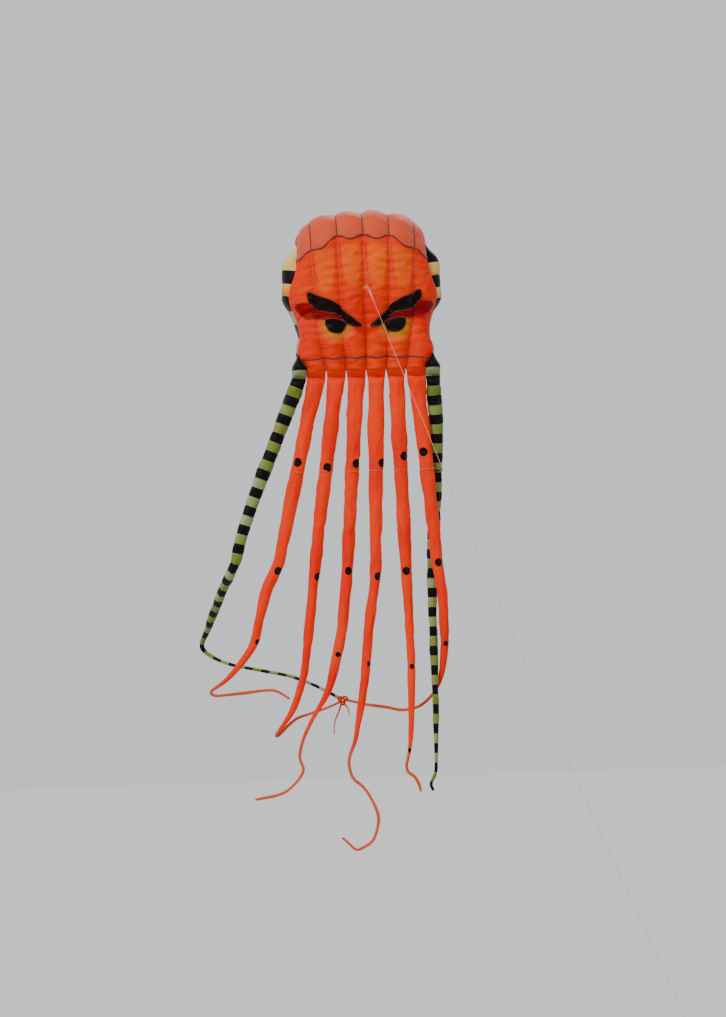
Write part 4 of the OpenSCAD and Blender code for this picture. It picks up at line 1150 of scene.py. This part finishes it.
def dot(name, n, k, x, z):
    """A round black patch wrapped over the front of leg n."""
    path, s, pos = LEG_SKINS[n]
    behind = pos[..., 1] > path[:, None, 1]
    miss = np.hypot(pos[..., 0] - x / 1000, pos[..., 2] - z / 1000) + 10 * behind
    i0, j0 = np.unravel_index(np.argmin(miss), miss.shape)
    girth = TURN * np.linalg.norm(pos[i0, j0] - path[i0])
    size = min(DOT_RADII[k], 0.17 * girth)
    rows, cols = size / (s[1] - s[0]), size * pos.shape[1] / girth
    verts = [on_leg(pos, path, i0, j0, DOME[0][1] / 1000)]
    for share, height in DOME[1:]:
        for a in np.linspace(0, TURN, DOT_SIDES, endpoint=False):
            i, j = i0 + share * rows * math.sin(a), j0 + share * cols * math.cos(a)
            verts.append(on_leg(pos, path, i, j, height / 1000))
    faces = [(0, 1 + q, 1 + (q + 1) % DOT_SIDES) for q in range(DOT_SIDES)]
    rings = grid_faces(len(DOME) - 1, DOT_SIDES, closed=True)
    faces += [tuple(1 + corner for corner in quad) for quad in rings]
    ob = new_mesh(name, verts, faces, None, [M_BLACK])
    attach(ob, f"leg_{n}_upper" if z > KNEE_Z else f"leg_{n}_lower")


for n, spots in DOTS.items():
    for k, (x, z) in enumerate(spots):
        dot(f"leg_{n}_dot_{k + 1}", n, k, x, z)

# ---- knot of the tangled tips, and the two loose ends out of it ----
KNOT_AT = v3(-0.335, 1.00, -4.352)
KNOT_SIZE = 0.017
LOOSE_ENDS = (
    [(-0.335, 1.0, -4.37), (-0.30, 0.985, -4.42), (-0.275, 0.985, -4.47), (-0.27, 0.99, -4.53)],
    [(-0.35, 1.0, -4.38), (-0.38, 0.99, -4.47), (-0.42, 0.985, -4.56), (-0.44, 0.985, -4.66),
     (-0.435, 0.985, -4.72)])
a = np.linspace(0, TURN, 120)
trefoil = np.stack([np.sin(a) + 2 * np.sin(2 * a), -np.sin(3 * a), np.cos(a) - 2 * np.cos(2 * a)], 1)
tangle = [round_tube("tangle_knot", KNOT_AT + trefoil * KNOT_SIZE, 0.011, 12, M_RIB, cap=False)]
for number, points in enumerate(LOOSE_ENDS, 1):
    path = catmull(points, 8)
    tangle.append(round_tube(f"tangle_tail_{number}", path, np.linspace(0.010, 0.005, len(path)), 10, M_RIB))
for ob in tangle:
    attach(ob, "leg_6_lower")

# ---- floor and light ----
FLOOR_Z, FLOOR_HALF = -8.95, 400
corners = [(x * FLOOR_HALF, y * FLOOR_HALF, FLOOR_Z) for x, y in ((-1, -1), (1, -1), (1, 1), (-1, 1))]
k = Shader("studio_floor")
surface = k.node("BsdfPrincipled", i_Roughness=0.9, i_Base_Color=(0.445, 0.45, 0.455, 1))
k.put(surface.outputs[0], k.out.inputs[0])
floor = new_mesh("floor", corners, [(0, 1, 2, 3)], mats=[k.material])

world = bpy.data.worlds.new("studio")
world.use_nodes = True
sky = world.node_tree.nodes["Background"]
sky.inputs[0].default_value = (0.86, 0.88, 0.90, 1)
sky.inputs[1].default_value = 0.9
SCENE.world = world


def sun(name, towards, strength, angle, colour):
    light = bpy.data.lights.new(name, "SUN")
    light.energy = strength
    light.angle = math.radians(angle)
    light.color = colour
    add(name, light).rotation_euler = Vector(towards).to_track_quat("-Z", "Y").to_euler()


sun("key", (0.55, 0.75, -0.75), 2.6, 18, (1, 0.97, 0.93))
sun("through", (-0.25, -0.75, -0.8), 2.0, 12, (1, 0.98, 0.95))
